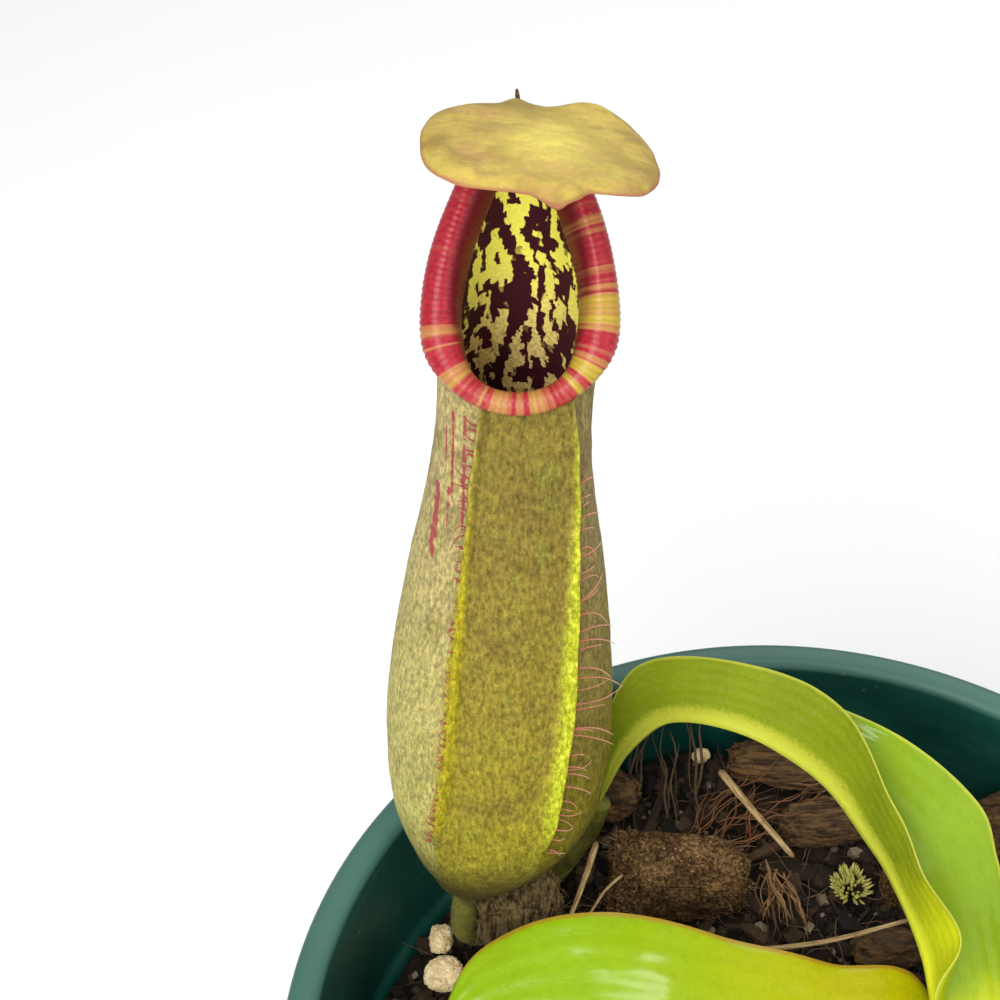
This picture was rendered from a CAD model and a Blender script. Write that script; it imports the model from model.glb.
# The looks of the potted pitcher plant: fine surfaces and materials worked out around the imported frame.
# Metres, +Z up. Points in the dictionaries are millimetres from the lowest corner of the node they go with.
import itertools
import math

import bmesh
import bpy
import numpy as np
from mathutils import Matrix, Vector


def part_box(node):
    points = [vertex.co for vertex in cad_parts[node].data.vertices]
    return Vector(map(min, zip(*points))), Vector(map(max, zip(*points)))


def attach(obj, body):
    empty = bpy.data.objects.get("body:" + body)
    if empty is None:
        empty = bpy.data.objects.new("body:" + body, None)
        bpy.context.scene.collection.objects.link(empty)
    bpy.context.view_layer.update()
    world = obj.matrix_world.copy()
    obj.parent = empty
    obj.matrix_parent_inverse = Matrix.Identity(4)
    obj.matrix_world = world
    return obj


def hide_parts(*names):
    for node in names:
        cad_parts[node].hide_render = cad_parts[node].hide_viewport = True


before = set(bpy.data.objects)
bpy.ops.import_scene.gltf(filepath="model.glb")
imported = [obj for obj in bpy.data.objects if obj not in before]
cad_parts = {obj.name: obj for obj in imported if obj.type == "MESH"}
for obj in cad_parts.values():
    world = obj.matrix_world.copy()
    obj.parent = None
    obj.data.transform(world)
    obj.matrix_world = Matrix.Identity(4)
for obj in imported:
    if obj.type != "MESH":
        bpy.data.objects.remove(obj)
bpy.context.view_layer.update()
mm = 0.001
turnRound = 2 * math.pi


# Shapes: whole-array helpers

def pointsFrom(node, points):  # millimetres from a node's lowest corner become metres in the row frame
    return np.array(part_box(node)[0]) + mm * np.asarray(points, dtype=float)


def smoothStep(low, high, value):  # 0 below low, 1 above high, 3t^2 - 2t^3 between
    t = np.clip((value - low) / (high - low), 0, 1)
    return t * t * (3 - 2 * t)


def unit(vectors):
    return vectors / np.maximum(np.linalg.norm(vectors, axis=-1, keepdims=True), 1e-12)


def throughPoints(points, place):
    # A curve through the points, each stretch a cubic aimed by its neighbours; place runs from 0 to 1.
    knots = np.asarray(points, dtype=float)
    padded = np.vstack([2 * knots[0] - knots[1], knots, 2 * knots[-1] - knots[-2]])
    along = np.asarray(place) * (len(knots) - 1)
    start = np.clip(along.astype(int), 0, len(knots) - 2)
    t = (along - start)[..., None]
    before, first, second, after = (padded[start + step] for step in range(4))
    return 0.5 * (2 * first + (second - before) * t
                  + (2 * before - 5 * first + 4 * second - after) * t ** 2
                  + (3 * first - before - 3 * second + after) * t ** 3)


def throughLevels(levels, values, height):
    # The natural cubic spline: its bends at the levels solve one linear system, and it is cubic between them.
    gap = np.diff(levels)
    size = len(levels)
    system = np.eye(size)
    middle = np.arange(1, size - 1)
    system[middle, middle - 1] = gap[:-1]
    system[middle, middle] = 2 * (gap[:-1] + gap[1:])
    system[middle, middle + 1] = gap[1:]
    slopes = np.diff(values, axis=0) / gap[:, None]
    wanted = np.zeros_like(values)
    wanted[1:-1] = 6 * np.diff(slopes, axis=0)
    bends = np.linalg.solve(system, wanted)
    index = np.clip(np.searchsorted(levels, height) - 1, 0, size - 2)
    high = ((height - levels[index]) / gap[index])[..., None]
    low = 1 - high
    square = (gap[index] ** 2)[..., None] / 6
    return (low * values[index] + high * values[index + 1]
            + square * ((low ** 3 - low) * bends[index] + (high ** 3 - high) * bends[index + 1]))


def lumps(points, size, seed, octaves=1, fade=0.5):
    # Value noise from -1 to 1: random numbers at the corners of a grid, blended smoothly between them.
    # Each further octave has half the pitch and fade times the height.
    total = np.zeros(points.shape[:-1])
    primes = np.array((73856093, 19349663, 83492791))
    for octave in range(octaves):
        table = np.random.default_rng(seed + 101 * octave).uniform(-1, 1, 8192)
        place = points / (size * 0.5 ** octave)
        cell = np.floor(place).astype(np.int64)
        part = place - cell
        part = part * part * (3 - 2 * part)
        for step in itertools.product((0, 1), repeat=3):
            key = np.bitwise_xor.reduce((cell + np.array(step)) * primes, axis=-1) & 8191
            share = np.prod(np.where(np.array(step) == 1, part, 1 - part), axis=-1)
            total += fade ** octave * share * table[key]
    return total


def ringFaces(rings, sides, joined=False):  # quads between rings of points
    ring, side = np.meshgrid(np.arange(rings if joined else rings - 1), np.arange(sides), indexing="ij")
    following, beside = (ring + 1) % rings, (side + 1) % sides
    return np.stack([ring * sides + side, ring * sides + beside,
                     following * sides + beside, following * sides + side], axis=-1).reshape(-1, 4)


def fanFaces(rings, sides):  # triangles from the two end rings to the two points after the rings
    side = np.arange(sides)
    beside = (side + 1) % sides
    last, total = (rings - 1) * sides, rings * sides
    first = np.stack([beside, side, np.full(sides, total)], axis=-1)
    final = np.stack([last + side, last + beside, np.full(sides, total + 1)], axis=-1)
    return np.concatenate([first, final])


def closedTube(grid):  # rings of points, closed at both ends by a fan to the end ring's middle
    rings, sides = grid.shape[:2]
    points = np.concatenate([grid.reshape(-1, 3), grid[:1].mean(axis=1), grid[-1:].mean(axis=1)])
    return points, ringFaces(rings, sides).tolist() + fanFaces(rings, sides).tolist()


def tubeValues(grid):  # a value per ring point, with each end ring's mean for its fan point
    return np.concatenate([grid.ravel(), [grid[0].mean(), grid[-1].mean()]])


def closedSheet(upper, lower):  # two grids of points joined along their four edges
    rows, columns = upper.shape[:2]
    loop = np.concatenate([upper, lower[:, ::-1]], axis=1)
    sides = 2 * columns
    column = np.arange(columns - 1)
    first = np.stack([column + 1, column, sides - 1 - column, sides - 2 - column], axis=-1)
    final = first[:, ::-1] + (rows - 1) * sides
    faces = np.concatenate([ringFaces(rows, sides), first, final])
    return loop.reshape(-1, 3), faces.tolist()


def sheetValues(upper, lower):
    return np.concatenate([upper, lower[:, ::-1]], axis=1).ravel()


def manyStrands(routes, radii, sides=5, reference=(0.31, 0.27, 0.91)):
    # Tapered cords, all at once: a ring of points square to each route at each of its steps.
    count, steps = routes.shape[:2]
    ahead = unit(np.gradient(routes, axis=1))
    aside = unit(np.cross(ahead, reference))
    across = np.cross(ahead, aside)
    angle = (turnRound * np.arange(sides) / sides)[:, None]
    spokes = np.cos(angle) * aside[:, :, None] + np.sin(angle) * across[:, :, None]
    rings = routes[:, :, None] + radii[..., None, None] * spokes
    bodies = np.concatenate([rings.reshape(count, -1, 3), routes[:, :1], routes[:, -1:]], axis=1)
    return bodies.reshape(-1, 3), repeated(count, steps * sides + 2, ringFaces(steps, sides),
                                           fanFaces(steps, sides))


def repeated(count, size, *faceArrays):  # the faces of one body, again for each of its copies
    shift = size * np.arange(count)[:, None, None]
    faces = []
    for one in faceArrays:
        faces += (one[None] + shift).reshape(-1, one.shape[1]).tolist()
    return faces


def strandValues(values, sides=5):  # a value per step of each strand, for its ring points and two end points
    rings = np.repeat(values[..., None], sides, axis=2).reshape(len(values), -1)
    return np.concatenate([rings, values[:, :1], values[:, -1:]], axis=1).ravel()


def strandTones(rng, count, steps, sides=5):  # one random tone for each strand
    return strandValues(np.repeat(rng.random((count, 1)), steps, axis=1), sides)


def alongStrands(count, steps, sides=5):  # 0 at the root of each strand, 1 at its tip
    return strandValues(np.repeat(np.linspace(0, 1, steps)[None], count, axis=0), sides)


def cubeBall():  # a cube cut in two along each edge: 26 corners, 24 faces
    steps = np.array(list(itertools.product((-1, 0, 1), repeat=3)))
    corners = steps[np.abs(steps).max(axis=1) == 1]
    place = {tuple(corner): index for index, corner in enumerate(corners.tolist())}
    faces = []
    for axis, side in itertools.product(range(3), (-1, 1)):
        for first, second in itertools.product((-1, 0), repeat=2):
            ring = [(first, second), (first + 1, second), (first + 1, second + 1), (first, second + 1)]
            quad = [place[tuple(np.insert(pair, axis, side).tolist())] for pair in ring]
            faces.append(quad if (side == 1) != (axis == 1) else quad[::-1])
    return corners.astype(float), np.array(faces)


def turnsAtRandom(count, rng):  # rotation matrices from random quaternions
    w, x, y, z = unit(rng.normal(size=(count, 4))).T
    rows = [(1 - 2 * (y * y + z * z), 2 * (x * y - z * w), 2 * (x * z + y * w)),
            (2 * (x * y + z * w), 1 - 2 * (x * x + z * z), 2 * (y * z - x * w)),
            (2 * (x * z - y * w), 2 * (y * z + x * w), 1 - 2 * (x * x + y * y))]
    return np.array([np.stack(row) for row in rows]).transpose(2, 0, 1)


def manyCrumbs(centres, sizes, turns, rng, roughness=0.22):
    # Small rough lumps: a ball of 24 faces for each, pushed about, stretched, turned and put in place.
    ball, faces = cubeBall()
    ball = ball * (1 - 0.2 * (np.linalg.norm(ball, axis=1, keepdims=True) - 1))
    shaped = ball[None] * (1 + roughness * rng.uniform(-1, 1, (len(centres), len(ball), 1)))
    shaped = shaped * 0.5 * sizes[:, None]
    placed = np.einsum("nij,nkj->nki", turns, shaped) + centres[:, None]
    return placed.reshape(-1, 3), repeated(len(centres), len(ball), faces), len(ball)


def turnOutwards(mesh):  # flips a closed mesh whose signed volume is negative
    mesh.calc_loop_triangles()
    corners = np.zeros(len(mesh.loop_triangles) * 3, np.int32)
    mesh.loop_triangles.foreach_get("vertices", corners)
    places = np.zeros(len(mesh.vertices) * 3)
    mesh.vertices.foreach_get("co", places)
    first, second, third = places.reshape(-1, 3)[corners.reshape(-1, 3)].transpose(1, 0, 2)
    if np.einsum("ij,ij->i", first, np.cross(second, third)).sum() < 0:
        mesh.flip_normals()


def addPiece(name, shape, finish, nodes=(), values=None, sharpAngle=None):
    points, faces = shape
    mesh = bpy.data.meshes.new(name)
    mesh.from_pydata(points, [], faces)
    turnOutwards(mesh)
    mesh.shade_smooth()
    if sharpAngle:
        mesh.set_sharp_from_angle(angle=math.radians(sharpAngle))
    for key, numbers in (values or {}).items():
        layer = mesh.attributes.new(key, "FLOAT", "POINT")
        layer.data.foreach_set("value", np.asarray(numbers, np.float32).ravel())
    mesh.materials.append(finish)
    piece = bpy.data.objects.new(name, mesh)
    bpy.context.scene.collection.objects.link(piece)
    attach(piece, "root")
    if nodes:
        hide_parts(*nodes)
    print(f"{name}: {len(points)} points, {len(faces)} faces")
    return piece


# Materials: one sheet of nodes at a time

def shaded(colour, factor):
    return tuple(factor * part for part in colour)


class nodeSheet:
    def __init__(self, name, fixed):  # fixed holds the shader sockets that are the same all over
        self.material = bpy.data.materials.new(name)
        self.material.use_nodes = True
        self.tree = self.material.node_tree
        self.shader = self.tree.nodes["Principled BSDF"]
        for socket, value in fixed.items():
            self.shader.inputs[socket].default_value = value
        self.place = self.add("ShaderNodeTexCoord").outputs["Object"]

    def add(self, kind, inputs=None, **settings):
        made = self.tree.nodes.new(kind)
        for key, value in settings.items():
            setattr(made, key, value)
        for key, value in (inputs or {}).items():
            if isinstance(value, bpy.types.NodeSocket):
                self.tree.links.new(value, made.inputs[key])
            else:
                made.inputs[key].default_value = value
        return made

    def value(self, name):  # a number that the mesh carries at its points
        return self.add("ShaderNodeAttribute", attribute_name=name).outputs["Fac"]

    def calc(self, operation, *terms):
        return self.add("ShaderNodeMath", dict(enumerate(terms)), operation=operation).outputs[0]

    def times(self, first, second):
        return self.calc("MULTIPLY", first, second)

    def plus(self, first, second):
        return self.calc("ADD", first, second)

    def step(self, value, low, high):  # 0 at low, 1 at high, smooth between
        inputs = {"Value": value, "From Min": low, "From Max": high}
        return self.add("ShaderNodeMapRange", inputs, interpolation_type="SMOOTHSTEP").outputs[0]

    def spread(self, value, low, high):  # a value from 0 to 1 becomes one from low to high
        inputs = {"Value": value, "To Min": low, "To Max": high}
        return self.add("ShaderNodeMapRange", inputs).outputs[0]

    def joined(self, x, y, z=0.0):
        return self.add("ShaderNodeCombineXYZ", {0: x, 1: y, 2: z}).outputs[0]

    def stretched(self, scale, place=None):
        return self.add("ShaderNodeMapping", {"Vector": place or self.place, "Scale": scale}).outputs[0]

    def noise(self, size, detail=4.0, rough=0.55, place=None):  # size is that of one blob, in millimetres
        inputs = {"Vector": place or self.place, "Scale": 1000 / size, "Detail": detail, "Roughness": rough}
        return self.add("ShaderNodeTexNoise", inputs).outputs["Fac"]

    def cells(self, size, output="Distance"):
        return self.add("ShaderNodeTexVoronoi", {"Vector": self.place, "Scale": 1000 / size}).outputs[output]

    def blend(self, share, first, second):
        sides = (side if isinstance(side, bpy.types.NodeSocket) else (*side, 1) for side in (first, second))
        inputs = dict(zip((0, 6, 7), (share, *sides)))
        return self.add("ShaderNodeMix", inputs, data_type="RGBA").outputs[2]

    def tint(self, colour, mask, share, other):  # the colour moves towards the other by mask times share
        return self.blend(self.times(mask, share), colour, other)

    def scaled(self, colour, factor):
        return self.add("ShaderNodeVectorMath", {0: colour, 3: factor}, operation="SCALE").outputs[0]

    def relief(self, height, depth, under=None, strength=1.0):  # depth in millimetres
        inputs = {"Height": height, "Distance": depth * mm, "Strength": strength}
        if under is not None:
            inputs["Normal"] = under
        return self.add("ShaderNodeBump", inputs).outputs[0]

    def finish(self, colour, roughness=None, normal=None):
        for socket, value in (("Base Color", colour), ("Roughness", roughness), ("Normal", normal)):
            if value is not None:
                self.tree.links.new(value, self.shader.inputs[socket])
        return self.material


# Pot: a turned shell with a lip, a collar, a foot recess and drain holes

potLook = {
    "sides": 240, "lipHeight": 6.0, "lipWidth": 4.4, "collarHeight": 24.0, "lipInset": 2.4, "bodyInset": 5.5,
    "collarWall": 4.1, "wall": 2.4, "floor": 3.0, "baseRadius": 50.0, "recess": (22.0, 44.0, 1.2),
    "holes": 6, "holeRadius": 5.0, "holeCircle": 33.0,
    "green": (0.003, 0.044, 0.033), "lighter": (0.008, 0.072, 0.054), "scuff": (0.040, 0.115, 0.088),
    "worn": (0.065, 0.160, 0.128), "dust": (0.16, 0.17, 0.13),
    "wornFrom": (0.1128, 0.1146),  # metres above the ground
}


def potPlastic(look):
    # Dark plastic with slow clouds, upright scuffs, fine scratches and specks of dust; the rim is worn pale.
    sheet = nodeSheet("pot plastic", {"IOR": 1.48, "Specular IOR Level": 0.3})
    cloudy = sheet.noise(26, 5)
    streaks = sheet.noise(5, 6, 0.62, sheet.stretched((0.22, 0.22, 2.4)))
    scratches = sheet.noise(1.1, 5, 0.7, sheet.stretched((0.12, 0.12, 3.0)))
    scuffed = sheet.times(sheet.step(streaks, 0.52, 0.72), sheet.step(cloudy, 0.42, 0.62))
    colour = sheet.blend(sheet.step(cloudy, 0.38, 0.66), look["green"], look["lighter"])
    colour = sheet.tint(colour, scuffed, 0.55, look["scuff"])
    specks = sheet.times(sheet.step(sheet.cells(3.4), 0.16, 0.06), sheet.step(sheet.noise(9), 0.5, 0.62))
    colour = sheet.tint(colour, specks, 0.6, look["dust"])
    colour = sheet.tint(colour, sheet.step(scratches, 0.62, 0.74), 0.35, look["scuff"])
    height = sheet.add("ShaderNodeSeparateXYZ", {0: sheet.place}).outputs[2]
    worn = sheet.plus(sheet.step(height, *look["wornFrom"]), sheet.spread(streaks, -0.5, 0.3))
    colour = sheet.tint(colour, sheet.step(worn, 0.1, 0.9), 0.85, look["worn"])
    roughness = sheet.spread(sheet.plus(sheet.times(scuffed, 0.5), cloudy), 0.30, 0.60)
    normal = sheet.relief(scratches, 0.05)
    normal = sheet.relief(sheet.noise(0.7, 3), 0.02, normal)
    return sheet.finish(colour, roughness, normal)


def roundedProfile(corners, radii, steps=4):
    # Each corner gives way to a quadratic arc between the points that lie its radius away along both sides.
    share = np.linspace(0, 1, steps)[:, None]
    arcs = [corners[:1]]
    for index in range(1, len(corners) - 1):
        here = corners[index]
        before, after = corners[index - 1] - here, corners[index + 1] - here
        room = min(radii[index], 0.45 * np.linalg.norm(before), 0.45 * np.linalg.norm(after))
        start, end = here + room * unit(before), here + room * unit(after)
        arcs.append((1 - share) ** 2 * start + 2 * share * (1 - share) * here + share ** 2 * end)
    arcs.append(corners[-1:])
    return np.concatenate(arcs)


def subdivided(profile, longest):  # extra points on long stretches
    parts = []
    for start, end in zip(profile[:-1], profile[1:]):
        pieces = max(1, int(np.ceil(np.linalg.norm(end - start) / longest)))
        parts.append(start + (end - start) * (np.arange(pieces) / pieces)[:, None])
    return np.concatenate(parts + [profile[-1:]])


def drilled(piece, radius, centres, depth):
    # Round holes cut through a piece, and the cutters taken away again.
    tool = bmesh.new()
    for x, y in centres:
        made = bmesh.ops.create_cone(tool, cap_ends=True, segments=32, radius1=radius, radius2=radius,
                                     depth=depth)
        bmesh.ops.translate(tool, verts=made["verts"], vec=(x, y, 0))
    mesh = bpy.data.meshes.new("drain tools")
    tool.to_mesh(mesh)
    tool.free()
    cutter = bpy.data.objects.new("drain tools", mesh)
    bpy.context.scene.collection.objects.link(cutter)
    cut = piece.modifiers.new("drain holes", "BOOLEAN")
    cut.operation, cut.object = "DIFFERENCE", cutter
    ready = piece.evaluated_get(bpy.context.evaluated_depsgraph_get())
    carved = bpy.data.meshes.new_from_object(ready)
    piece.modifiers.clear()
    piece.data = carved
    bpy.data.objects.remove(cutter)


def makePot(look):
    # A profile is turned once round: each point goes out by the radius's cosine and sine at its own height.
    low, high = (np.array(corner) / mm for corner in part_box("pot"))
    rim, top = (high[0] - low[0]) / 2, high[2] - low[2]
    lip, collar = rim - look["lipInset"], top - look["collarHeight"]
    body, base, floor = rim - look["bodyInset"], look["baseRadius"], look["floor"]
    inner, outer, depth = look["recess"]
    mouth = rim - look["lipWidth"]
    corners = np.array([
        (0.4, 0), (inner, 0), (inner + 0.3, depth), (outer - 0.3, depth), (outer, 0), (base, 0),
        (body, collar), (lip, collar + 0.5), (lip, top - look["lipHeight"]),
        (rim, top - look["lipHeight"] + 0.4), (rim, top), (mouth, top), (lip - look["collarWall"], collar),
        (body - look["wall"], collar - 1), (base - look["wall"], floor), (0.4, floor)])
    radii = [0, 0.3, 0.3, 0.3, 0.3, 1.2, 0.6, 0.5, 0.5, 0.6, 1.5, 1.5, 1.0, 1.0, 2.0, 0]
    profile = subdivided(roundedProfile(corners, radii), 3.0)
    angle = turnRound * np.arange(look["sides"]) / look["sides"]
    radius, height = profile[:, :1], profile[:, 1:]
    # A moulded pot is never quite round: two slow waves of a fifth of a millimetre towards the rim.
    waver = 0.12 * (height / top) ** 2 * (np.sin(2 * angle + 0.7) + 0.6 * np.sin(5 * angle))
    radius = radius + waver * (radius > 40)
    grid = np.stack([radius * np.cos(angle), radius * np.sin(angle), height + 0 * angle], axis=-1)
    centre = np.array(((low[0] + high[0]) / 2, (low[1] + high[1]) / 2, low[2]))
    shape = closedTube((grid + centre) * mm)
    piece = addPiece("pot_shell", shape, potPlastic(look), ["pot"], sharpAngle=40)
    spots = turnRound * (np.arange(look["holes"]) + 0.5) / look["holes"]
    centres = mm * (look["holeCircle"] * np.stack([np.cos(spots), np.sin(spots)], axis=1) + centre[:2])
    drilled(piece, look["holeRadius"] * mm, centres.tolist(), 12 * mm)


makePot(potLook)


# Potting mix: a rough bed with crumbs, bark bits, fibres and twigs lying on it

mixLook = {
    "level": -3.5, "slope": 3.5, "hollow": (-44.0, 35.0, 16.0, 5.0), "mound": (25.0, -2.0, 9.0, 2.0),
    "edgeRadius": 62.2, "footRadius": 47, "rings": 120, "sides": 300, "seed": 3,
    "dark": (0.006, 0.0045, 0.003), "brown": (0.034, 0.020, 0.010), "pale": (0.14, 0.095, 0.05),
    "fleck": (0.5, 0.4, 0.25),
    # sizes are the least and what a cubed random number adds; stretch is the least and most along each axis
    "lumps": {
        "crumbs": {"count": 2600, "reach": 60.5, "size": (0.7, 2.6), "stretch": (0.6, 1.3), "lift": 0.15,
                   "rough": 0.3, "toneBend": 2.2, "finish": "crumbs", "grain": 0.6, "slot": "mix",
                   "dark": (0.012, 0.008, 0.005), "light": (0.085, 0.050, 0.024)},
        "grit": {"count": 520, "reach": 60.5, "size": (0.5, 1.3), "stretch": (0.7, 1.3), "lift": 0.3,
                 "rough": 0.25, "toneBend": 1, "finish": "pale grit", "grain": 0.4, "slot": "perlite",
                 "dark": (0.10, 0.075, 0.045), "light": (0.50, 0.40, 0.25)}},
    "shreds": {"count": 420, "reach": 59, "size": (2.5, 8), "width": (0.16, 0.4), "depth": (0.4, 1.3),
               "lift": 0.6, "rough": 0.18, "toneBend": 1.6, "finish": "bark shreds", "grain": 0.45,
               "slot": "bark", "dark": (0.020, 0.011, 0.006), "light": (0.13, 0.072, 0.034)},
    "fibres": {"count": 620, "reach": 57, "size": (4, 13), "lift": 0.9, "thick": (0.06, 0.13),
               "dark": (0.055, 0.024, 0.010), "light": (0.26, 0.14, 0.06)},
}
mixLow, mixHigh = (np.array(corner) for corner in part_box("potting_mix"))
mixCentre = (mixLow + mixHigh)[:2] / 2


def bedHeight(x, y, look):
    # The level bed tilts up to the back right as a tanh, dips as a bell round the pitcher, rises as a bell
    # at the stem and waves a little, as a sine times a cosine.
    hollowX, hollowY, hollowWidth, hollowDepth = look["hollow"]
    moundX, moundY, moundWidth, moundHeight = look["mound"]
    x, y = (x - mixCentre[0]) / mm, (y - mixCentre[1]) / mm
    rise = look["slope"] * np.tanh((0.5 * x + y - 25) / 30)
    dip = hollowDepth * np.exp(-((x - hollowX) ** 2 + (y - hollowY) ** 2) / hollowWidth ** 2)
    mound = moundHeight * np.exp(-((x - moundX) ** 2 + (y - moundY) ** 2) / moundWidth ** 2)
    return mixHigh[2] + mm * (look["level"] + rise - dip + mound + 0.6 * np.sin(x / 6) * np.cos(y / 7))


def roughBed(x, y, look):  # the bed with clods, crumbs and grains of its own
    flat = np.stack([x, y, np.zeros_like(x)], axis=-1)
    clods = 1.3 * lumps(flat, 7 * mm, look["seed"], 2)
    grains = 0.9 * np.abs(lumps(flat, 2.4 * mm, look["seed"] + 5, 2))
    return bedHeight(x, y, look) + mm * (clods - grains)


def darkMix(look):  # dark and brown patches, and cells of which a few are pale
    sheet = nodeSheet("dark mix", {"Specular IOR Level": 0.25})
    patches = sheet.noise(5, 6, 0.65)
    grains = sheet.cells(1.3, "Color")
    tone = sheet.add("ShaderNodeSeparateColor", {0: grains}).outputs[0]
    colour = sheet.blend(sheet.step(patches, 0.42, 0.68), look["dark"], look["brown"])
    colour = sheet.tint(colour, sheet.step(tone, 0.80, 0.98), 0.5, look["pale"])
    normal = sheet.relief(sheet.noise(0.8, 6, 0.7), 0.5)
    normal = sheet.relief(sheet.cells(1.3), 0.35, normal)
    return sheet.finish(colour, sheet.spread(patches, 0.72, 1.0), normal)


def crumbFinish(name, dark, light, grainSize):
    # Each lump has its own tone, carried at its points, with fine grain and a few pale flecks.
    sheet = nodeSheet(name, {"Specular IOR Level": 0.3})
    grain = sheet.noise(grainSize, 5, 0.65)
    colour = sheet.blend(sheet.value("tone"), dark, light)
    colour = sheet.blend(sheet.spread(grain, 0.0, 0.75), colour, shaded(dark, 0.45))
    colour = sheet.tint(colour, sheet.step(sheet.noise(0.9), 0.62, 0.70), 0.15, mixLook["fleck"])
    return sheet.finish(colour, sheet.spread(grain, 0.65, 1.0), sheet.relief(grain, 0.18))


def strandFinish(name, dark, light, roughness=0.7):
    # Each strand has its own tone and streaks that follow it.
    sheet = nodeSheet(name, {"Specular IOR Level": 0.35})
    streaks = sheet.noise(0.5, 3, 0.6)
    colour = sheet.blend(sheet.value("tone"), dark, light)
    colour = sheet.blend(sheet.spread(streaks, 0.0, 0.55), colour, shaded(dark, 0.4))
    return sheet.finish(colour, sheet.spread(streaks, roughness - 0.12, roughness + 0.15),
                        sheet.relief(streaks, 0.05))


def spotsInDisc(count, radius, rng):  # even over the disc: the distance from the middle is a square root
    angle, distance = turnRound * rng.random(count), radius * np.sqrt(rng.random(count))
    return mixCentre[0] + distance * np.cos(angle), mixCentre[1] + distance * np.sin(angle)


def lyingStrands(x, y, z, length, heading, rng, bend=0.35, lift=0.5, steps=7):
    # Strands over the bed: each starts level at its heading, bends sideways as a parabola and bows upwards.
    share = np.linspace(-0.5, 0.5, steps)[None, :]
    side = bend * rng.uniform(-1, 1, (len(x), 1)) * length[:, None] * (share ** 2 - 0.08)
    run = length[:, None] * share
    sine, cosine = np.sin(heading)[:, None], np.cos(heading)[:, None]
    tilt = rng.uniform(-0.25, 0.25, (len(x), 1))
    rise = tilt * run + lift * length[:, None] * 0.25 * (0.25 - share ** 2)
    side = side + 0.035 * length[:, None] * np.sin(9 * share + rng.uniform(0, 6, (len(x), 1)))
    return np.stack([x[:, None] + run * cosine - side * sine, y[:, None] + run * sine + side * cosine,
                     z[:, None] + rise], axis=-1)


def layLumps(name, centres, sizes, turns, part, rng):  # lumps with a random tone each, bent by a power
    points, faces, each = manyCrumbs(centres, sizes, turns, rng, part["rough"])
    tone = np.repeat(rng.random(len(centres)) ** part["toneBend"], each)
    finish = crumbFinish(part["finish"], part["dark"], part["light"], part["grain"])
    addPiece(name, (points, faces), finish, values={"tone": tone}, sharpAngle=50)


def makeMix(look):
    # A closed plug: rings shrink over the rough bed to its middle, and a cone goes down inside the pot.
    # Crumbs, grit, shreds and fibres then lie where random spots in a disc put them.
    rng = np.random.default_rng(look["seed"])
    angle = turnRound * np.arange(look["sides"]) / look["sides"]
    radius = look["edgeRadius"] * mm * np.linspace(1, 0.004, look["rings"])[:, None]
    x, y = mixCentre[0] + radius * np.cos(angle), mixCentre[1] + radius * np.sin(angle)
    top = np.stack([x, y, roughBed(x, y, look)], axis=-1)
    depth = np.array((0.0, 0.35, 0.7))[:, None]
    slim = (look["footRadius"] + (look["edgeRadius"] - look["footRadius"]) * depth) * mm
    side = np.stack([mixCentre[0] + slim * np.cos(angle), mixCentre[1] + slim * np.sin(angle),
                     mixLow[2] + depth * (mixHigh[2] - mixLow[2]) + 0 * angle], axis=-1)
    addPiece("mix_bed", closedTube(np.concatenate([side, top])), darkMix(look), ["potting_mix"])

    for name, part in look["lumps"].items():
        x, y = spotsInDisc(part["count"], part["reach"] * mm, rng)
        least, more = part["size"]
        size = mm * (least + more * rng.random(len(x)) ** 3)
        sizes = size[:, None] * rng.uniform(*part["stretch"], (len(x), 3))
        centres = np.stack([x, y, roughBed(x, y, look) + part["lift"] * size], axis=-1)
        layLumps("mix_" + name, centres, sizes, turnsAtRandom(len(x), rng), part, rng)

    part = look["shreds"]
    x, y = spotsInDisc(part["count"], part["reach"] * mm, rng)
    least, more = part["size"]
    length = mm * (least + more * rng.random(len(x)) ** 2)
    sizes = np.stack([length, length * rng.uniform(*part["width"], len(x)),
                      mm * rng.uniform(*part["depth"], len(x))], axis=1)
    heading = turnRound * rng.random(len(x))
    tilt = rng.normal(0, 0.25, (2, len(x)))
    ahead = unit(np.stack([np.cos(heading), np.sin(heading), tilt[0]], axis=1))
    aside = unit(np.cross(np.stack([tilt[1], 0.1 + 0 * heading, 1 + 0 * heading], axis=1), ahead))
    turns = np.stack([ahead, aside, np.cross(ahead, aside)], axis=2)
    centres = np.stack([x, y, roughBed(x, y, look) + part["lift"] * mm], axis=-1)
    layLumps("mix_shreds", centres, sizes, turns, part, rng)

    part = look["fibres"]
    x, y = spotsInDisc(part["count"], part["reach"] * mm, rng)
    least, more = part["size"]
    length = mm * (least + more * rng.random(len(x)) ** 1.5)
    z = roughBed(x, y, look) + part["lift"] * mm
    routes = lyingStrands(x, y, z, length, turnRound * rng.random(len(x)), rng, 0.9, 0.45)
    taper = np.array((0.5, 0.9, 1, 1, 1, 0.8, 0.3))
    radii = (mm * rng.uniform(*part["thick"], (len(x), 1))) * taper
    tone = strandTones(rng, len(x), 7, 4)
    finish = strandFinish("coir fibres", part["dark"], part["light"])
    addPiece("mix_fibres", manyStrands(routes, radii, 4), finish, values={"tone": tone})


makeMix(mixLook)


# Bundles of fibres that stand or lie in their own places

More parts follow.
